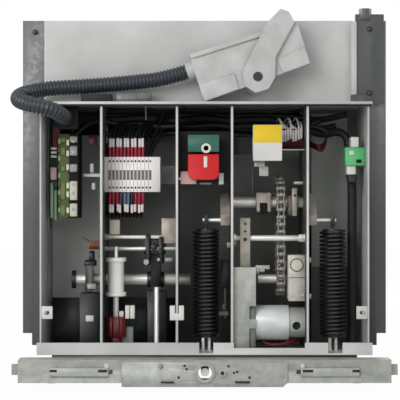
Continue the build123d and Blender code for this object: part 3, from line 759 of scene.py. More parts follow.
# %% Dress the truck
for node, finish, slot in (("crossbar", bar_zinc, "warm_grey_steel"),
                           ("centre_plate", bar_zinc, "warm_grey_steel"),
                           ("truck_deck", lever_black, "grey_zinc_sheet"),
                           ("truck_rails", lever_black, "grey_zinc_sheet")):
    refinish(node, slot, finish, 0.6, ending="sheet")
for latch, spans in (("left_latch", ((-259, -247), (-178, -163))),
                     ("right_latch", ((164, 181.5), (247, 259)))):
    refinish(latch, "ground_steel", bar_zinc, 0.4, ending="slide", body=latch)
    # Painted shade: dark plates in the latch's slots.
    notch_shades = [slab(span, (-305.5, -304.6), (34, 38.5), rubber, 0.2) for span in spans]
    mount(notch_shades, f"{latch}_notches", latch)
finish_node("racking_screw", ground_bar)
finish_node("wheels", black_moulding)
# Painted shade: dark plates and discs in the crossbar's slots and holes.
slot_shade_plates = slabs(rubber, 0.2, ((121, 137.4), (-300.6, -299.8), (34.6, 38.2)),
                ((-73, -51), (-307.5, -306.6), (15.9, 19)), ((50.7, 75.7), (-307.5, -306.6), (15.9, 19.5)))
for x, z in ((-29.9, 39), (39.8, 44), (49.3, 33), (54.7, 34.6), (75.3, 25), (-33.5, 44.7), (-43.7, 25)):
    slot_shade_plates.append(round_bar("Y", 2.2, (-303.3, -302.6), (x, z), black_oxide, 0.1, 16))
mount(slot_shade_plates, "crossbar_slot_shade_plates")
fittings = [hex_bolt("Y", 7, 3, (-74.3, -303.1, 44.8), -1, bar_zinc),
            round_bar("Y", 7.5, (-306.5, -303), (29.8, 32.7), bar_zinc, 0.8),
            round_bar("Y", 3.4, (-306.9, -306.2), (29.8, 32.7), black_oxide, 0.2, 20)]
fittings += slabs(edge_coat, 0.5, ((-167.5, -160.5), (-302.2, -300), (39.6, 48.1)),
                  ((160.5, 167.5), (-302.2, -300), (39.6, 48.1)))
mount(fittings, "crossbar_fittings")
print("truck dressed")

# %% [markdown]
# ## Mechanism
#
# Shafts are bright ground steel, and what is keyed on them is blackened or zinc plated. Each part is one
# mesh, so a second finish goes on the faces that lie outside the shaft's own radius.

# %% Dress shafts, levers and brackets
MAIN_AXIS = (-150, 181)
STORAGE_AXIS = (-158, 318)
CRANK_PIN = (-205, 286)


def off_axis(at, axis, radius):
    """Whether a point lies further than the radius from an axis along X, given as Y and Z."""
    return math.hypot(at.y - axis[0], at.z - axis[1]) > radius


refinish("main_shaft", "ground_steel", ground_bar, 0.5,
         (lever_black, lambda at, facing: off_axis(at, MAIN_AXIS, 11.2) or at.x < -227.9
          or -101.5 < at.x < -95 or -79.5 < at.x < -72.6 or -210.3 < at.x < -196.7))
refinish("storage_shaft", "bright_zinc", warm_zinc, 0.5,
         (ground_bar, lambda at, facing: not (off_axis(at, STORAGE_AXIS, 10.4)
                                              and off_axis(at, CRANK_PIN, 7))))
# Painted shade: the gland bracket, a grey zinc sheet, gets the deep black finish for the shade it stands in
# under the roof.
for node, finish, slot in (("lever_plate", lever_zinc, "bright_zinc"),
                           ("motor_bracket", bar_zinc, "warm_grey_steel"),
                           ("switch_bracket", slate_moulding, "pale_painted_sheet"),
                           ("spring_hooks", lever_black, "ground_steel"),
                           ("gland_bracket", darkest_black_and_shade, "grey_zinc_sheet"),
                           ("conduit_saddle", rubber, "black_rubber"),
                           ("roof_block", wall_grey_and_shade, "pale_painted_sheet"),
                           ("button_frame", darkest_black_and_shade, "black_steel")):
    refinish(node, slot, finish, 0.4)
refinish("spring_feet", "ground_steel", ground_bar, 0.4, (lever_black, lambda at, facing: at.z > 84.2))
refinish("opening_spring_rod", "ground_steel", ground_bar, 0.4,
         (lever_black, lambda at, facing: at.y > -178.1 or at.z < 84.1))
refinish("cross_rods", "ground_steel", ground_bar, 0.3,
         (warm_zinc, lambda at, facing: -76 < at.x < -47 and at.z > 244 and off_axis(at, (-186, 257.5), 4.2)),
         (cream_moulding, lambda at, facing: -167 < at.x < -147 and at.z > 261.5))
refinish("damper", "white_plastic", damper_white, 0.6,
         (ground_bar, lambda at, facing: at.z > 221.5 or at.z < 156.5),
         (dark_red_moulding, lambda at, facing: at.z < 90))
fork = slabs(white_moulding, 1, ((-59, -50.2), (-260, -248), (117, 142)),
             ((-43.8, -35), (-260, -248), (117, 142)))
fork.append(slab((-51, -43), (-260, -257.3), (117, 129), white_moulding, 0.6))
mount(fork, "stop_buffer_fork", replaces=["stop_buffer"])
print("mechanism dressed")

# %% [markdown]
# ## Bolts and small levers of the mechanism
#
# Rods end in nuts, and levers carry bolts, pins and light washers. They are too fine for the frame, so they
# are modelled here: a hexagon is a six-sided cylinder whose rim a bevel rounds, standing on its washer.

# %% Model bolts, pins and small levers
nuts = ((9, 5, (49.2, -214, 246), 1), (9, 5, (44.8, -214, 244), -1), (9, 6, (178.2, -214, 218), 1),
        (9, 6, (178.2, -214, 155), 1), (10, 6, (-174, -186, 257.5), 1), (8, 5, (-174, -186, 236.5), 1))
trim = [hex_bolt("X", across, height, base, direction, bar_zinc) for across, height, base, direction in nuts]
trim += [round_bar("X", 3.2, (84, 103), (-238, 201), bar_zinc, 0.4),
         round_bar("X", 6.5, (86, 93), (-238, 201), bar_zinc, 0.6),
         slab((88, 112), (-241, -235), (203, 210), bar_zinc, 1.2),
         slab((153.5, 162.5), (-190, -184), (294, 343), warm_zinc, 1.4),
         round_bar("Y", 2.4, (-192, -189.6), (158, 330), lever_black, 0.2),
         slab((165, 174), (-178, -166), (309, 322), bar_zinc, 0.8),
         round_bar("Y", 5.2, (-226.6, -225), (70.2, 254), bar_zinc, 0.3),
         round_bar("Y", 3.4, (-227, -226.2), (70.2, 254), lever_black, 0.2),
         slab((28, 47), (-178, -172), (167, 216), lever_black, 1.5),
         round_bar("Z", 2.4, (113, 200), (36.5, -170), bar_zinc, 0.3, 16),
         slab((27, 46), (-172, -168), (170, 176), bar_zinc, 0.6),
         round_bar("Z", 4.5, (128, 138), (34.6, -172), bar_zinc, 0.8, 16),
         slab((22, 42), (-176, -170), (118, 126), bar_zinc, 0.8)]
trim += [round_bar("Y", 2, (-227, -226), (70.2, z), lever_black, 0.2) for z in (268, 281)]
mount(trim, "mechanism_bolts")
black = slabs(lever_black, 3, ((-106, -68), (-186, -176), (226, 254)),
              ((-103, -94), (-194, -184), (208, 262)),
              ((-80, -71), (-194, -184), (210, 258)), ((-212, -191), (-176, -152), (205, 216)))
black += [slab((-204, -194), (-170, -160), (216, 232), lever_black, 2),
          hex_bolt("Y", 12, 6, (-88, -186, 240), -1, lever_black),
          hex_bolt("Y", 9, 5, (-76, -194, 232), -1, lever_black)]
mount(black, "mechanism_black_levers")
light = [round_bar("Y", 5, (-198, -190), (-101.5, 213.5), bar_zinc, 0.8),
         round_bar("Y", 3, (-200, -194), (-80, 218), bar_zinc, 0.5),
         slab((-69, -56), (-190, -182), (214, 221), bar_zinc, 1),
         slab((-205, -189), (-196, -184), (166, 176), bar_zinc, 1.5)]
mount(light, "mechanism_light_fittings")
print("mechanism trim pieces", len(trim) + len(black) + len(light))

# %% [markdown]
# ## Torsion spring
#
# A small copper-coloured torsion spring sits beside the first partition. It is wound in the same way as the
# closing springs, with a thin wire, and turned to lie along the shaft.

# %% Wind the torsion spring
coil = wind(7, 2, 2.6, 7, copper_wire, steps=16, sides=8)
coil.data.transform(Matrix.Rotation(math.pi / 2, 4, "Y"))
coil.data.transform(Matrix.Translation(Vector((-203, -178, 243)) * MM))
legs = [tube([(-202, -178, 250), (-206, -182, 252), (-212, -186, 256)], 1, copper_wire),
        tube([(-185, -178, 236), (-182, -184, 228), (-186, -186, 218)], 1, copper_wire)]
mount([coil] + legs, "torsion_spring")
print("torsion spring", len(coil.data.polygons), "faces")

# %% [markdown]
# ## Motor and gearbox
#
# The charging motor is a blasted aluminium can with a darker end cap, which holds one carbon brush behind a
# round hole. The gearbox is a zinc-plated steel box with a pale boss and two rivets in its front plate.

# %% Dress the motor and the gearbox
BRUSH_HOLE = (158, 106)


def in_brush_hole(at, facing):
    """Whether a face is part of the brush's hole: its wall, or its floor."""
    away = math.hypot(at.x - BRUSH_HOLE[0], at.z - BRUSH_HOLE[1])
    wall = at.x > 147 and away < 7.2 and at.y > -238 and abs(facing.x) + abs(facing.z) > 0.5
    return wall or (away < 6 and -235 < at.y < -215 and facing.y < -0.5)


refinish("motor", "cast_aluminium", motor_alloy, 0.8,
         (cap_alloy, lambda at, facing: at.x > 145.5 or at.x < 87.5), (rubber, in_brush_hole))
refinish("gearbox", "bright_zinc", gear_zinc, 0.7, (ground_bar, lambda at, facing: at.x < 143.5),
         (cream_moulding, lambda at, facing: at.y < -229.5))
rivets = [ring("Y", 10.2, 1.3, (159, -229.6, 210), lever_black),
          slab((145.5, 173), (-229.5, -228.9), (187.6, 188.6), lever_black, 0.1)]
rivets += [round_bar("Y", 3, (-231, -229), (x, 158), gear_zinc, 0.9, 16) for x in (151.5, 169.5)]
mount(rivets, "gearbox_rivets")
plate = slab((144.6, 173.6), (-229, -226), (147.5, 227.5), gear_zinc, 1.4)
mount(plate, "gearbox_front_plate")
leads = []
for number in range(5):
    shift = number * 2.6
    leads.append(tube([(84 + shift, -190, 96 - shift), (90 + shift, -215, 80 - shift),
                       (112, -228, 71 + shift / 3),
                       (140, -226, 73 - shift / 4), (165, -210, 79 + shift), (172, -180, 90 + shift)], 2,
                      red_wire if number % 2 else maroon_wire))
mount(leads, "motor_leads")
print("motor leads", len(leads))

# %% [markdown]
# ## Buttons, indicator and mouldings
#
# The push buttons are coloured mouldings with a symbol: a ring, and a bar. The lower one has rounded corners
# and a ground stem. The charge indicator has two colour fields, left plain.

# %% Dress the buttons and mouldings
refinish("open_button", "green_plastic", teal_moulding, 0.4, (ground_bar, lambda at, facing: at.y > -247.5),
         body="open_button")
outline = [(-28.2, 400), (-28.2, 368), (-26.5, 361.5), (-22.5, 357.5), (-16, 356), (13, 356), (19.5, 357.5),
           (23.2, 361.5), (24.8, 368), (24.8, 400)]
face = prism("Y", outline, (-262, -248), red_moulding, 1.6, 3)
stem = round_bar("Y", 5, (-248, -202), (-1.7, 378), ground_bar, 0.5)
mount([face, stem], "close_button_moulding", "close_button", ["close_button"])
mark = [ring("Y", 6.3, 2.2, (2.7, -261.6, 410.1), white_moulding),
        round_bar("Y", 4.2, (-262, -261), (2.7, 410.1), black_moulding, 0.2)]
mount(mark, "ring_mark", "open_button")
mark = slab((-1.2, 4.6), (-262.6, -261.6), (377.5, 396), white_moulding, 0.3)
mount(mark, "bar_mark", "close_button")
fittings = [slab((-8.4, 11.7), (-236.4, -235), (348.5, 354.5), slate_moulding, 0.5),
            slab((24.6, 33), (-240, -232), (348.5, 368.5), white_moulding, 1.2),
            slab((-41.5, -14), (-243, -233), (349, 371), blush_moulding, 1.2),
            slab((-44.5, -41), (-243, -238), (356, 361), white_moulding, 0.5)]
mount(fittings, "button_fittings")
refinish("charge_indicator", "white_plastic", field_white, 0.5, (darkest_black_and_shade, lambda at, facing: at.x < 82.5),
         (bar_zinc, lambda at, facing: at.z < 389))
label = slab((83.6, 131.4), (-262.5, -261.9), (419.6, 449.6), yellow_moulding, 0.2)
mount(label, "indicator_label")
mount(slabs(bar_zinc, 1, ((85.6, 104), (-237, -233), (379, 389)), ((94, 110), (-237, -233), (363, 380))),
      "indicator_hanger")
print("buttons and indicator made")

# %% [markdown]
# ## Terminal row
#
# The terminal block is a row of pale mouldings side by side. Each has a slot for its screwdriver, two small
# holes and a seam to its neighbour. Dark plates stand for them, because they are too small to cut.

# %% Dress the terminal row
TERMINAL_PITCH = 6.4
FIRST_TERMINAL = -164.8
TERMINAL_FRONT = (-205.3, -204.8)
refinish("terminal_block", "white_plastic", terminal_white, 0.3,
         (wall_grey_and_shade, lambda at, facing: at.x > -76.8 or at.y > -159.5),
         (grey_moulding_and_shade, lambda at,
          facing: -204.5 < at.y < -194 and 357.5 < at.z < 373.5 and -170 < at.x < -90))
grooves = []
for number in range(12):
    x = FIRST_TERMINAL + number * TERMINAL_PITCH
    grooves.append(slab((x - 2.2, x + 2.2), TERMINAL_FRONT, (357, 374), slot_grey, 0.1))
    grooves.append(slab((x - 3.5, x - 2.9), TERMINAL_FRONT, (337, 396), slot_grey, 0.1))
    for z in (343.5, 389.5):
        grooves.append(round_bar("Y", 1.9, (-205.4, -204.8), (x, z), black_oxide, 0.1, 12))
mount(grooves, "terminal_slots")
print("terminal slots", len(grooves))

# %% [markdown]
# ## Terminal wiring
#
# Each terminal of the row takes one wire from above and one from below, with a white marker sleeve on it. The
# wires are tubes through listed points. They leave the sleeves upwards and bend back into the cable run.

# %% Wire the terminal row
random.seed(7)
reds, blacks, tags, lower_wires = [], [], [], []
below = (red_wire, red_wire, red_wire, violet_wire, blue_wire, blue_wire, black_wire, red_wire, red_wire,
         red_wire)
for number, finish in enumerate(below):
    x = FIRST_TERMINAL + number * TERMINAL_PITCH
    lean = random.uniform(-1, 1)
    reds.append(tube([(x, -190, 384), (x, -198, 392), (x, -199, 404), (x, -197, 416)], 2.4, red_wire, 6))
    pair = 1 if number % 2 == 0 else -1
    tags.append(slab((x - 2.3 + pair * 0.7, x + 2.3 + pair * 0.7), (-200, -195), (414, 430 + lean),
                     tag_moulding, 1))
    blacks.append(tube([(x, -197, 428), (x + lean, -192, 438), (x + 6 + 3 * lean, -170, 452 + 2 * lean),
                        (x + 18, -140, 462), (x + 30, -126, 456)], 2.2, black_wire))
    lower_wires.append(tube([(x, -190, 352), (x, -199, 342), (x, -200, 330), (x + lean, -197, 312)], 2.4,
                            finish, 6))
    tags.append(slab((x - 2.4 + pair + lean, x + 2.2 + pair + lean), (-200, -195),
                     (301 + 2 * lean, 315 + lean),
                     tag_moulding, 1))
    blacks.append(tube([(x, -197, 304), (x - 2, -185, 294), (x - 6 + lean, -150, 288), (x - 8, -110, 300),
                        (x - 10, -72, 312)], 1.8, black_wire if number % 3 else maroon_wire))
mount(reds, "terminal_wires_above")
mount(lower_wires, "terminal_wires_below")
mount(tags, "wire_markers")
mount(blacks, "terminal_tails")
print("terminal wires", len(reds) + len(lower_wires))

# %% [markdown]
# ## Cable run
#
# Behind the roof's lip, bundles of black cable run from bay to bay through the windows of the partitions.
# They sag a little between the windows and cross each other, as bundles laid by hand do.

# %% Lay the cables
runs = (
    (5.5, ((-236, -160, 442), (-224, -152, 462), (-200, -145, 472), (-176, -125, 473), (-140, -120, 474),
           (-100, -124, 471), (-47, -122, 474), (0, -121, 475), (47, -123, 473), (100, -122, 474),
           (150, -126, 472),
           (176, -124, 470), (205, -130, 463), (232, -140, 470), (252, -150, 474))),
    (5.5, ((-232, -120, 458), (-205, -118, 470), (-176, -122, 458), (-150, -126, 462), (-120, -120, 452),
           (-85, -124, 459), (-47, -124, 455), (-15, -120, 449), (20, -126, 457), (47, -124, 453),
           (85, -122, 447),
           (120, -126, 456), (150, -122, 449), (176, -122, 457), (206, -126, 446), (236, -130, 455))),
    (4.5, ((-228, -165, 436), (-205, -158, 462), (-176, -150, 464), (-150, -146, 454), (-118, -152, 460),
           (-80, -148, 450), (-47, -150, 456), (-20, -154, 450), (15, -148, 458), (47, -150, 450),
           (80, -150, 456),
           (115, -148, 448), (150, -152, 455), (176, -150, 452), (204, -142, 462))),
    (4.5, ((-176, -118, 440), (-140, -124, 446), (-100, -118, 436), (-60, -122, 444), (-47, -122, 442),
           (0, -118, 438), (47, -122, 442), (90, -124, 436), (140, -120, 440), (176, -122, 438),
           (200, -118, 450))),
    (3.5, ((-72, -140, 474), (-80, -150, 452), (-92, -165, 428), (-101, -184, 408), (-105, -192, 388))),
    (3.5, ((-64, -136, 474), (-74, -150, 446), (-88, -168, 420), (-98, -182, 400), (-101, -190, 386))),
    (3.5, ((-80, -136, 472), (-92, -152, 450), (-104, -170, 432), (-112, -186, 420), (-110, -194, 404))),
    (4, ((176, -150, 462), (190, -150, 450), (205, -154, 456), (216, -150, 440), (232, -146, 448))),
)
cables = [tube(points, radius, black_wire, 6) for radius, points in runs]
mount(cables, "cable_run")
drop = ((257, -192, 360), (260, -186, 335), (259, -180, 260), (260, -182, 180), (260, -180, 62))
mount(tube(drop, 7.6, rubber, 8), "relay_cable")
straps = slabs(slot_grey, 0.3, ((83.6, 84.8), (-200, -198), (334, 389)),
               ((171.6, 172.6), (-200, -198), (382, 405)))
straps.append(slab((-104.6, -103), (-152, -150), (464, 487), pale_coat, 0.3))
mount(straps, "cable_straps")
print("cables", len(cables))

# %% [markdown]
# ## Loose connectors and marked wires
#
# At the top right of the fourth bay, white wires with marker sleeves turn down to a row of dark red leads.
# Small white connectors stand beside the damper and on the auxiliary switch.

# %% Model the connectors and the marked wires
whites, leads = [], []
for number in range(8):
    x = 136 + number * 4.6
    top = 470 - (number % 3) * 6
    lean = random.uniform(-3, 3)
    whites.append(tube([(x - 6, -150, top - 8), (x - 3 + lean, -185, top + 2), (x + lean, -200, top - 12),
                        (x + 1, -203, 446)], 1.6, white_moulding if number % 2 else tag_moulding, 5))
    whites.append(slab((x - 1.4, x + 2.6), (-205, -201), (426 + lean, 446 + lean), tag_moulding, 0.9))
    leads.append(tube([(x + 0.6, -203, 430), (x, -203, 420), (x - 2, -196, 412), (x - 6, -150, 409),
                       (x - 8, -110, 415)], 2, maroon_wire, 5))
mount(whites, "marked_wires")
for number in range(4):
    leads.append(tube([(178 + number * 3, -150, 430 - number * 4), (190 + number * 3, -190, 420 - number * 3),
                       (204, -196, 415 - number * 4), (214, -160, 424 - number * 3), (220, -120, 436)], 1.9,
                      maroon_wire, 5))
    leads.append(tube([(-251, -214, 463), (-264 + number * 3.6, -200, 456), (-265 + number * 3.6, -196, 436),
                       (-262 + number * 2.6, -194, 404)], 2, maroon_wire, 5))
mount(leads, "dark_red_leads")
connectors = slabs(white_moulding, 1, ((-137.5, -130), (-214, -200), (116, 139)),
                   ((-129, -121), (-214, -200), (116, 139)), ((-148, -140.5), (-212, -203), (119, 129)),
                   ((-214, -182), (-172, -168), (362.5, 368.5)))
connectors += [round_bar("Z", 4, (370, 386), (-198, -170), white_moulding, 1),
               round_bar("Z", 4, (340, 352), (-195, -170), white_moulding, 1),
               slab((-206, -192.5), (-210.4, -209), (111, 121.5), white_moulding, 0.6)]
mount(connectors, "white_connectors")
mount(slab((-204, -191), (-166, -158), (419, 437), maroon_gloss, 1.5), "dark_red_connector")
mount(slab((-153, -124), (-202, -186), (61.2, 101), slate_moulding, 2), "slate_block")
print("connectors", len(connectors))

# %% [markdown]
# ## Auxiliary switch and relay
#
# The switch is a stack of contact chambers on an olive laminate board. The chambers have a screw each and a
# white lead beside them, and green strips stand between the switch and the wall. The relay is a green
# moulding with a pale connector at each end. Both are built of rounded blocks, as their mouldings are.

# %% Build the auxiliary switch and the relay
BOARD_SPAN = (290.5, 437)
chambers = [slab((-243, -219.5), (-203, -128), BOARD_SPAN, darkest_black_and_shade, 0.5),
            slab((-253.5, -235.6), (-203.6, -128), BOARD_SPAN, olive_dark, 0.5)]
for low, high, finish in ((422, 433, grey_moulding_and_shade), (399, 416, grey_moulding_and_shade), (370.5, 384.5, grey_moulding_and_shade),
                          (321.5, 355, cream_moulding), (293, 316, cream_moulding)):
    chambers.append(slab((-234.5, -221), (-207, -202.6), (low, high), finish, 2))
    chambers.append(slab((-250, -242), (-206, -202.6), (low + 1, high - 2), olive_laminate, 1.5))
    chambers.append(slab((-241, -236), (-205, -202.6), (low - 2, high - 4), olive_dark, 1))
mount(chambers, "switch_chambers", replaces=["auxiliary_switch"])
bits = []
for z in (424, 405, 381, 349, 334, 306):
    bits.append(round_bar("Y", 3, (-208, -206.8), (-228, z), bar_zinc, 0.5, 16))
    bits.append(slab((-240, -235.5), (-206.4, -204), (z - 7, z + 3), white_moulding, 0.6))
mount(bits, "switch_screws")
strips = slabs(pale_green, 1, ((-269, -264), (-196, -190), (290, 352)),
               ((-262.5, -257.5), (-196, -190), (287, 340)))
strips += [slab((-262, -256.5), (-198, -190), (343, 356), black_moulding, 1),
           slab((-269, -258), (-197, -190), (357, 379), blush_moulding, 1.2)]
strips += [slab((-268, -258), (-198, -190), (z - 2, z + 1.8), white_moulding, 0.8) for z in (398, 405, 412)]
for number in range(9):
    z = 300 + number * 15
    strips.append(slab((-254.5, -250.5), (-205.4, -203), (z, z + 9),
                       olive_dark if number % 2 else pale_green, 0.8))
mount(strips, "switch_strips")
relay = [slab((243, 277.6), (-225, -185), (381, 413), green_moulding, 2),
         slab((262, 271), (-226, -225), (386, 392), darkest_black_and_shade, 0.3),
         slab((249, 264), (-220, -186), (352, 366), black_moulding, 1.5)]
mount(relay, "relay_body", replaces=["relay"])
whites = slabs(white_moulding, 1.5, ((253, 267), (-222, -190), (413.4, 431)),
               ((246, 262), (-222, -190), (366, 380.6)))
whites.append(slab((250, 258), (-225.8, -225), (400, 407), tag_moulding, 0.3))
mount(whites, "relay_connectors")
print("switch and relay made")

# %% [markdown]
# ## Roller chain and sprockets
#
# The chain is built as the real one is: rollers on pins, with inner and outer plates in turn. One link of
# each kind is modelled, and turned copies follow the loop of two arcs and two straight runs. Each sprocket is
# an outline with a tooth between every two rollers.

# %% Lay the chain round its sprockets
CHAIN_LINKS = 38
CHAIN_PITCH = 12.7
CHAIN_X = 133.5
UPPER_TEETH, LOWER_TEETH = 21, 13
UPPER_WHEEL = (*STORAGE_AXIS, CHAIN_PITCH / 2 / math.sin(math.pi / UPPER_TEETH))
LOWER_WHEEL = (-174, 183, CHAIN_PITCH / 2 / math.sin(math.pi / LOWER_TEETH))
across, upward = UPPER_WHEEL[0] - LOWER_WHEEL[0], UPPER_WHEEL[1] - LOWER_WHEEL[1]
wheel_gap = math.hypot(across, upward)
lean = math.atan2(upward, across)
spread_angle = math.asin((UPPER_WHEEL[2] - LOWER_WHEEL[2]) / wheel_gap)
straight = math.sqrt(wheel_gap ** 2 - (UPPER_WHEEL[2] - LOWER_WHEEL[2]) ** 2)
upper_arc = UPPER_WHEEL[2] * (math.pi + 2 * spread_angle)
lower_arc = LOWER_WHEEL[2] * (math.pi - 2 * spread_angle)
chain_length = 2 * straight + upper_arc + lower_arc


def on_wheel(wheel, angle, further=0):
    """Y and Z of a point at an angle round a sprocket, on its pitch circle or further out."""
    return circle(wheel, wheel[2] + further, angle)


def chain_place(distance):
    """Y and Z of the point that lies a distance along the chain's loop, from the upper wheel's front."""
    distance %= chain_length
    first = lean + math.pi / 2 + spread_angle
    last = lean - math.pi / 2 - spread_angle
    if distance < upper_arc:
        return on_wheel(UPPER_WHEEL, first - distance / UPPER_WHEEL[2])
    distance -= upper_arc
    if distance < straight:
        start, end = on_wheel(UPPER_WHEEL, last), on_wheel(LOWER_WHEEL, last)
    elif distance < straight + lower_arc:
        return on_wheel(LOWER_WHEEL, last - (distance - straight) / LOWER_WHEEL[2])
    else:
        distance -= straight + lower_arc
        start, end = on_wheel(LOWER_WHEEL, first), on_wheel(UPPER_WHEEL, first)
    share = distance / straight
    return start[0] + (end[0] - start[0]) * share, start[1] + (end[1] - start[1]) * share


def chain_link(plate_radius, plate_spans, bar_radius, half_width, sides):
    """One link along Y from the origin: two waisted plates, and a bar, roller or pin, in each round end."""
    outline = [circle((middle, 0), plate_radius, math.radians(start + step * 250 / 8))
               for middle, start in ((0, 55), (CHAIN_PITCH, 235)) for step in range(9)]
    pieces = [prism("X", outline, (CHAIN_X + x, CHAIN_X + x + 1.6), chain_bar, 0.3) for x in plate_spans]
    return join(pieces + [round_bar("X", bar_radius, (CHAIN_X - half_width, CHAIN_X + half_width), (y, 0),
                                    chain_bar, 0.2, sides) for y in (0, CHAIN_PITCH)])


step = chain_length / CHAIN_LINKS
inner_link = chain_link(5.9, (-5.5, 3.9), 4.2, 3.9, 16)
outer_link = chain_link(5.2, (-7.1, 5.5), 2.2, 8.3, 12)
links = []
for number in range(CHAIN_LINKS):
    here, after = chain_place(number * step), chain_place((number + 1) * step)
    turn = math.atan2(after[1] - here[1], after[0] - here[0])
    link = copy_by(outer_link if number % 2 else inner_link, (0, 0, 0))
    link.data.transform(Matrix.Rotation(turn, 4, "X"))
    link.data.transform(Matrix.Translation(Vector((0, *here)) * MM))
    links.append(link)
for template in (inner_link, outer_link):
    bpy.data.objects.remove(template)
mount(links, "roller_chain", replaces=["drive_chain"])
TOOTH = ((-0.28, -4.4), (-0.1, -4.9), (0.1, -4.9), (0.28, -4.4), (0.43, 2.2), (0.57, 2.2))
wheels = []
for wheel, teeth, bore in ((UPPER_WHEEL, UPPER_TEETH, 11), (LOWER_WHEEL, LOWER_TEETH, 9)):
    outline = [on_wheel(wheel, math.tau * (number + share) / teeth, further)
               for number in range(teeth) for share, further in TOOTH]
    wheels.append(prism("X", outline, (CHAIN_X - 3.2, CHAIN_X + 3.2), chain_bar, 0.3))
    wheels.append(round_bar("X", bore + 5, (CHAIN_X - 7, CHAIN_X - 3.2), wheel[:2], chain_bar, 0.5))
mount(wheels, "toothed_sprockets", replaces=["sprockets"])
print("chain", round(chain_length, 1), "mm,", CHAIN_LINKS, "links")

# %% [markdown]
# ## Tabs, blocks and the trip coil
#
# Tabs, flanges and small blocks are kept out of the frame, so that its collision stays open where the object
# is open. They are modelled here from slabs, bars and outlines with rounded edges. The damper's foot is
# fluted.

# %% Model the fine forms of the box
TRAY_TOP = 61.4
for side, name in ((-1, "left"), (1, "right")):
    tab = [slab(sorted((side * 278, side * 259)), (-256.6, -254.2), (119, 141), edge_coat, 0.8),
           round_bar("Y", 3, (-257, -256.4), (side * 267.5, 130), black_oxide, 0.1, 20)]
    mount(tab, f"wall_tab_{name}")
mount(slabs(edge_coat, 0.1, ((-277.9, -277.2), (-133, -101), (160, 203)),
            ((277.2, 277.9), (-133, -101), (168, 205))),
      "wall_guides")
mount(slab((256.5, 266), (-195.4, -192.4), (506, 633), pale_coat, 0.6), "post_flange")
foot = slab((256.5, 280.6), (-197, -182), (490.3, 506), post_zinc, 1.5)
neck = round_bar("Z", 7.5, (637, 648), (281.7, -186), black_oxide, 1)
mount([foot, neck], "post_foot")
coil = slabs(black_moulding, 1, ((-217, -183), (-209, -205), (TRAY_TOP, 160)),
             ((-217, -183), (-205, -167), (150, 160)))
coil += [slab((-217, -183), (-205, -167), (TRAY_TOP, 66), black_moulding, 0.6),
         round_bar("Z", 15, (66, 150), (-200, -186), rubber, 1)]
mount(coil, "trip_coil")
mount(slab((-100.5, -66.5), (-178, -150), (TRAY_TOP, 162), lever_black, 1.2), "opening_column")
FLUTES = 14
outline = [circle((-154, -205), 18 if number % 4 < 2 else 16.4, math.tau * number / (4 * FLUTES))
           for number in range(4 * FLUTES)]
foot = [prism("Z", outline, (84, 119), dark_red_moulding, 0.5),
        round_bar("Z", 11, (TRAY_TOP, 84), (-154, -205), dark_red_moulding, 0.6)]
mount(foot, "damper_foot")
print("fine forms of the box made")

# %% [markdown]
# ## Fine forms of the mechanism
#
# The storage shaft carries a yoke, a hub and a cam, and thin rods cross the bays. The cam is a plate with a
# drawn outline. The yoke's opening is a dark plate on its face, painted shade in the opening.

# %% Model the fine forms of the mechanism
CAM = ((-172, 318), (-170, 328), (-158, 333), (-146, 328), (-143, 316), (-150, 305), (-162, 293), (-172, 296),
       (-176, 306))
zinc = [slab((91.3, 117.3), (-180, -172), (301, 335), warm_zinc, 1.5),
        round_bar("X", 14, (91.3, 104), STORAGE_AXIS, warm_zinc, 1),
        prism("X", CAM, (146.5, 156.5), warm_zinc, 1.2),
        slab((-75, -49.3), (-190, -182), (246, 290), warm_zinc, 1),
        slab((-166, -148), (-192, -180), (261.4, 287.5), cream_moulding, 1.5)]
mount(zinc, "mechanism_zinc_pieces")
# Painted shade: a black plate in the yoke's opening.
mount(slab((97.5, 111), (-181.4, -180), (297, 317), darkest_black_and_shade, 1), "yoke_opening_shade")
steel = [round_bar("X", 3.4, (-173.8, -49.2), (-186, 236.5), ground_bar, 0.4),
         round_bar("X", 1.5, (-44.8, 44.8), (-200, 409.5), ground_bar, 0.2, 12),
         round_bar("X", 1.5, (49.2, 173.8), (-200, 409.5), ground_bar, 0.2, 12),
         round_bar("X", 3, (157.5, 173.8), (-170, 352), ground_bar, 0.3, 16),
         hex_bolt("X", 13, 9, (173.6, -216, 256), -1, ground_bar),
         round_bar("X", 8, (49.2, 54), (-216, 256), ground_bar, 0.6)]
mount(steel, "mechanism_fine_rods")
cup = slab((77.3, 88), (-243, -200), (61.6, 139), wall_grey_and_shade, 1.5)
mount(cup, "motor_bracket_cup")
print("fine forms of the mechanism made")

# %% [markdown]
# ## Painted shade and light on the back plate
#
# Black sheets on the back plate are painted shade in the low and top parts of some bays, and paler ones
# behind the switch and the relay are painted light. They are plain cut sheets on the back plate. A thin black
# strip under the roof's lip is painted shade along its lower edge.

# %% Model the painted shade and light sheets and the lip's shade strip
BACK_FACE = -70.6
# Painted shade: black sheets low in bays one and two, down the left of bay five and along the top of bays one
# to four.
painted_shade_sheets = [slab((-277.6, -178.4), (-76, BACK_FACE), (TRAY_TOP, 143), lever_black, 0.4),
         slab((-173.6, -49.4), (-76, BACK_FACE), (TRAY_TOP, 143), lever_black, 0.4),
         slab((178.4, 196), (-76, BACK_FACE), (TRAY_TOP, 330), darkest_black_and_shade, 0.4),
         slab((-277.6, 178), (-73, BACK_FACE), (440, 481.6), darkest_black_and_shade, 0.4)]
mount(painted_shade_sheets, "painted_shade_backing_sheets")
# Painted light: paler panels that lighten the back of bays one and five.
for name, x, z in (("bay_one_painted_light_back", (-277.6, -178.4), (143.6, 440)),
                   ("bay_five_painted_light_back", (196.4, 262), (200, 480))):
    mount(slab(x, (-75, BACK_FACE), z, painted_light_back_coat, 0.4), name)
# Painted shade: a black strip along the lower edge of the roof's lip.
mount(slab((-285, 285), (-260.6, -260), (481.6, 485.2), darkest_black_and_shade, 0.2), "roof_lip_shade_strip")
print("backing sheets", len(painted_shade_sheets) + 2)

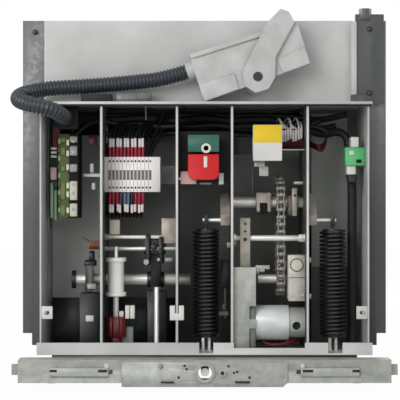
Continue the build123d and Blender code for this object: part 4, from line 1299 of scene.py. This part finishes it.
# %% [markdown]
# ## Control plug
#
# The plug is a heavy die-cast hood, painted grey, with a sheet bail that locks it in its socket. The hood's
# raised ridge and its two low plates are cast with it, so they are thin plates with rounded edges in the same
# paint. A grey strip under the ridge is painted shade of the groove below it.

plates = [prism("Y", [on_plug(u, v)[::2] for u, v in corners], (-246.2, -243), hood_paint, 1.2)
          for corners in (((-100, 64), (38, 64), (38, 72), (-100, 72)),
                          ((-100, -13), (-36, -10.4), (-36, 18.4), (-100, 18)),
                          ((42, -7), (93, -5), (93, 26), (42, 18)))]
# Painted shade: a grey strip under the ridge stands for the groove's shade.
line = prism("Y", [on_plug(u, v)[::2] for u, v in ((-92, 61.5), (36, 61.5), (36, 64), (-92, 64))],
             (-243.4, -243), grey_moulding_and_shade, 0.1)
mount(plates + [line], "plug_cast_plates")
finish_node("plug_housing", hood_paint)
finish_node("plug_lever", hood_paint)
finish_node("plug_pins", black_oxide)

# %% [markdown]
# ## Poles and contacts
#
# Each pole is cast in red-brown epoxy round its vacuum interrupter. Its two arms end in tulip contacts, rings
# of silver-plated fingers that springs press on the fixed contact.

# %% Dress the poles and arms
for number in (1, 2, 3):
    refinish(f"pole_{number}", "epoxy_resin", resin, 1.5, ending="casting", segments=3)
for level in ("lower", "upper"):
    refinish(f"{level}_contact_arms", "silvered_copper", silver_plate, 0.6)
print("poles and arms dressed")

# %% [markdown]
# ## Floor and light
#
# A pale floor keeps the object's shadow. The background is plain white: the floor and the world show white to
# the camera and to reflections, and the lamps alone set how bright the object is.

# %% Add the stage, the world and the lamps
deselect()
bpy.ops.mesh.primitive_plane_add(size=14, location=(0, 0, 0))
floor = bpy.context.object
floor.name = "studio_floor"
material, tree, place = blank_material("pale_studio_floor")
paint = add(tree, "ShaderNodeBsdfDiffuse", {"Color": colour("#f2f2f0")})
glow = add(tree, "ShaderNodeEmission", {"Color": (1, 1, 1, 1), "Strength": 1})
rays = add(tree, "ShaderNodeLightPath")
WHITE_SHARE = 0.97
share = add(tree, "ShaderNodeMath", {0: rays.outputs["Is Camera Ray"], 1: WHITE_SHARE}, operation="MULTIPLY")
blend = add(tree, "ShaderNodeMixShader", {0: share.outputs[0], 1: paint.outputs[0], 2: glow.outputs[0]})
add(tree, "ShaderNodeOutputMaterial", {"Surface": blend.outputs[0]})
floor.data.materials.append(material)

world = bpy.data.worlds.new("studio")
world.use_nodes = True
tree = world.node_tree
tree.nodes.clear()
rays = add(tree, "ShaderNodeLightPath")
seen = add(tree, "ShaderNodeMath", {0: rays.outputs["Is Camera Ray"], 1: rays.outputs["Is Glossy Ray"]},
           operation="MAXIMUM")
seen = add(tree, "ShaderNodeMath", {0: seen.outputs[0], 1: rays.outputs["Is Transmission Ray"]},
           operation="MAXIMUM")
AMBIENT = 0.42
level = add(tree, "ShaderNodeMapRange", {"Value": seen.outputs[0], "To Min": AMBIENT, "To Max": 1.0})
sky = add(tree, "ShaderNodeBackground", {"Color": (1, 1, 1, 1), "Strength": level.outputs["Result"]})
add(tree, "ShaderNodeOutputWorld", {"Surface": sky.outputs[0]})
bpy.context.scene.world = world


def lamp(name, place, target, size, power):
    """A soft square lamp that points at a target, in millimetres and watts."""
    data = bpy.data.lights.new(name, "AREA")
    data.size = size * MM
    data.energy = power
    made = put(name, data)
    made.location = Vector(place) * MM
    made.rotation_euler = (Vector(target) - Vector(place)).to_track_quat("-Z", "Y").to_euler()


lamp("key_light", (-1150, -2200, 1150), (0, -150, 320), 1300, 28)
lamp("fill_light", (1300, -2200, 500), (0, -150, 320), 1400, 5.5)
lamp("back_light", (300, 2200, 1600), (0, 100, 300), 1600, 24)
bpy.context.scene.view_settings.view_transform = "Standard"
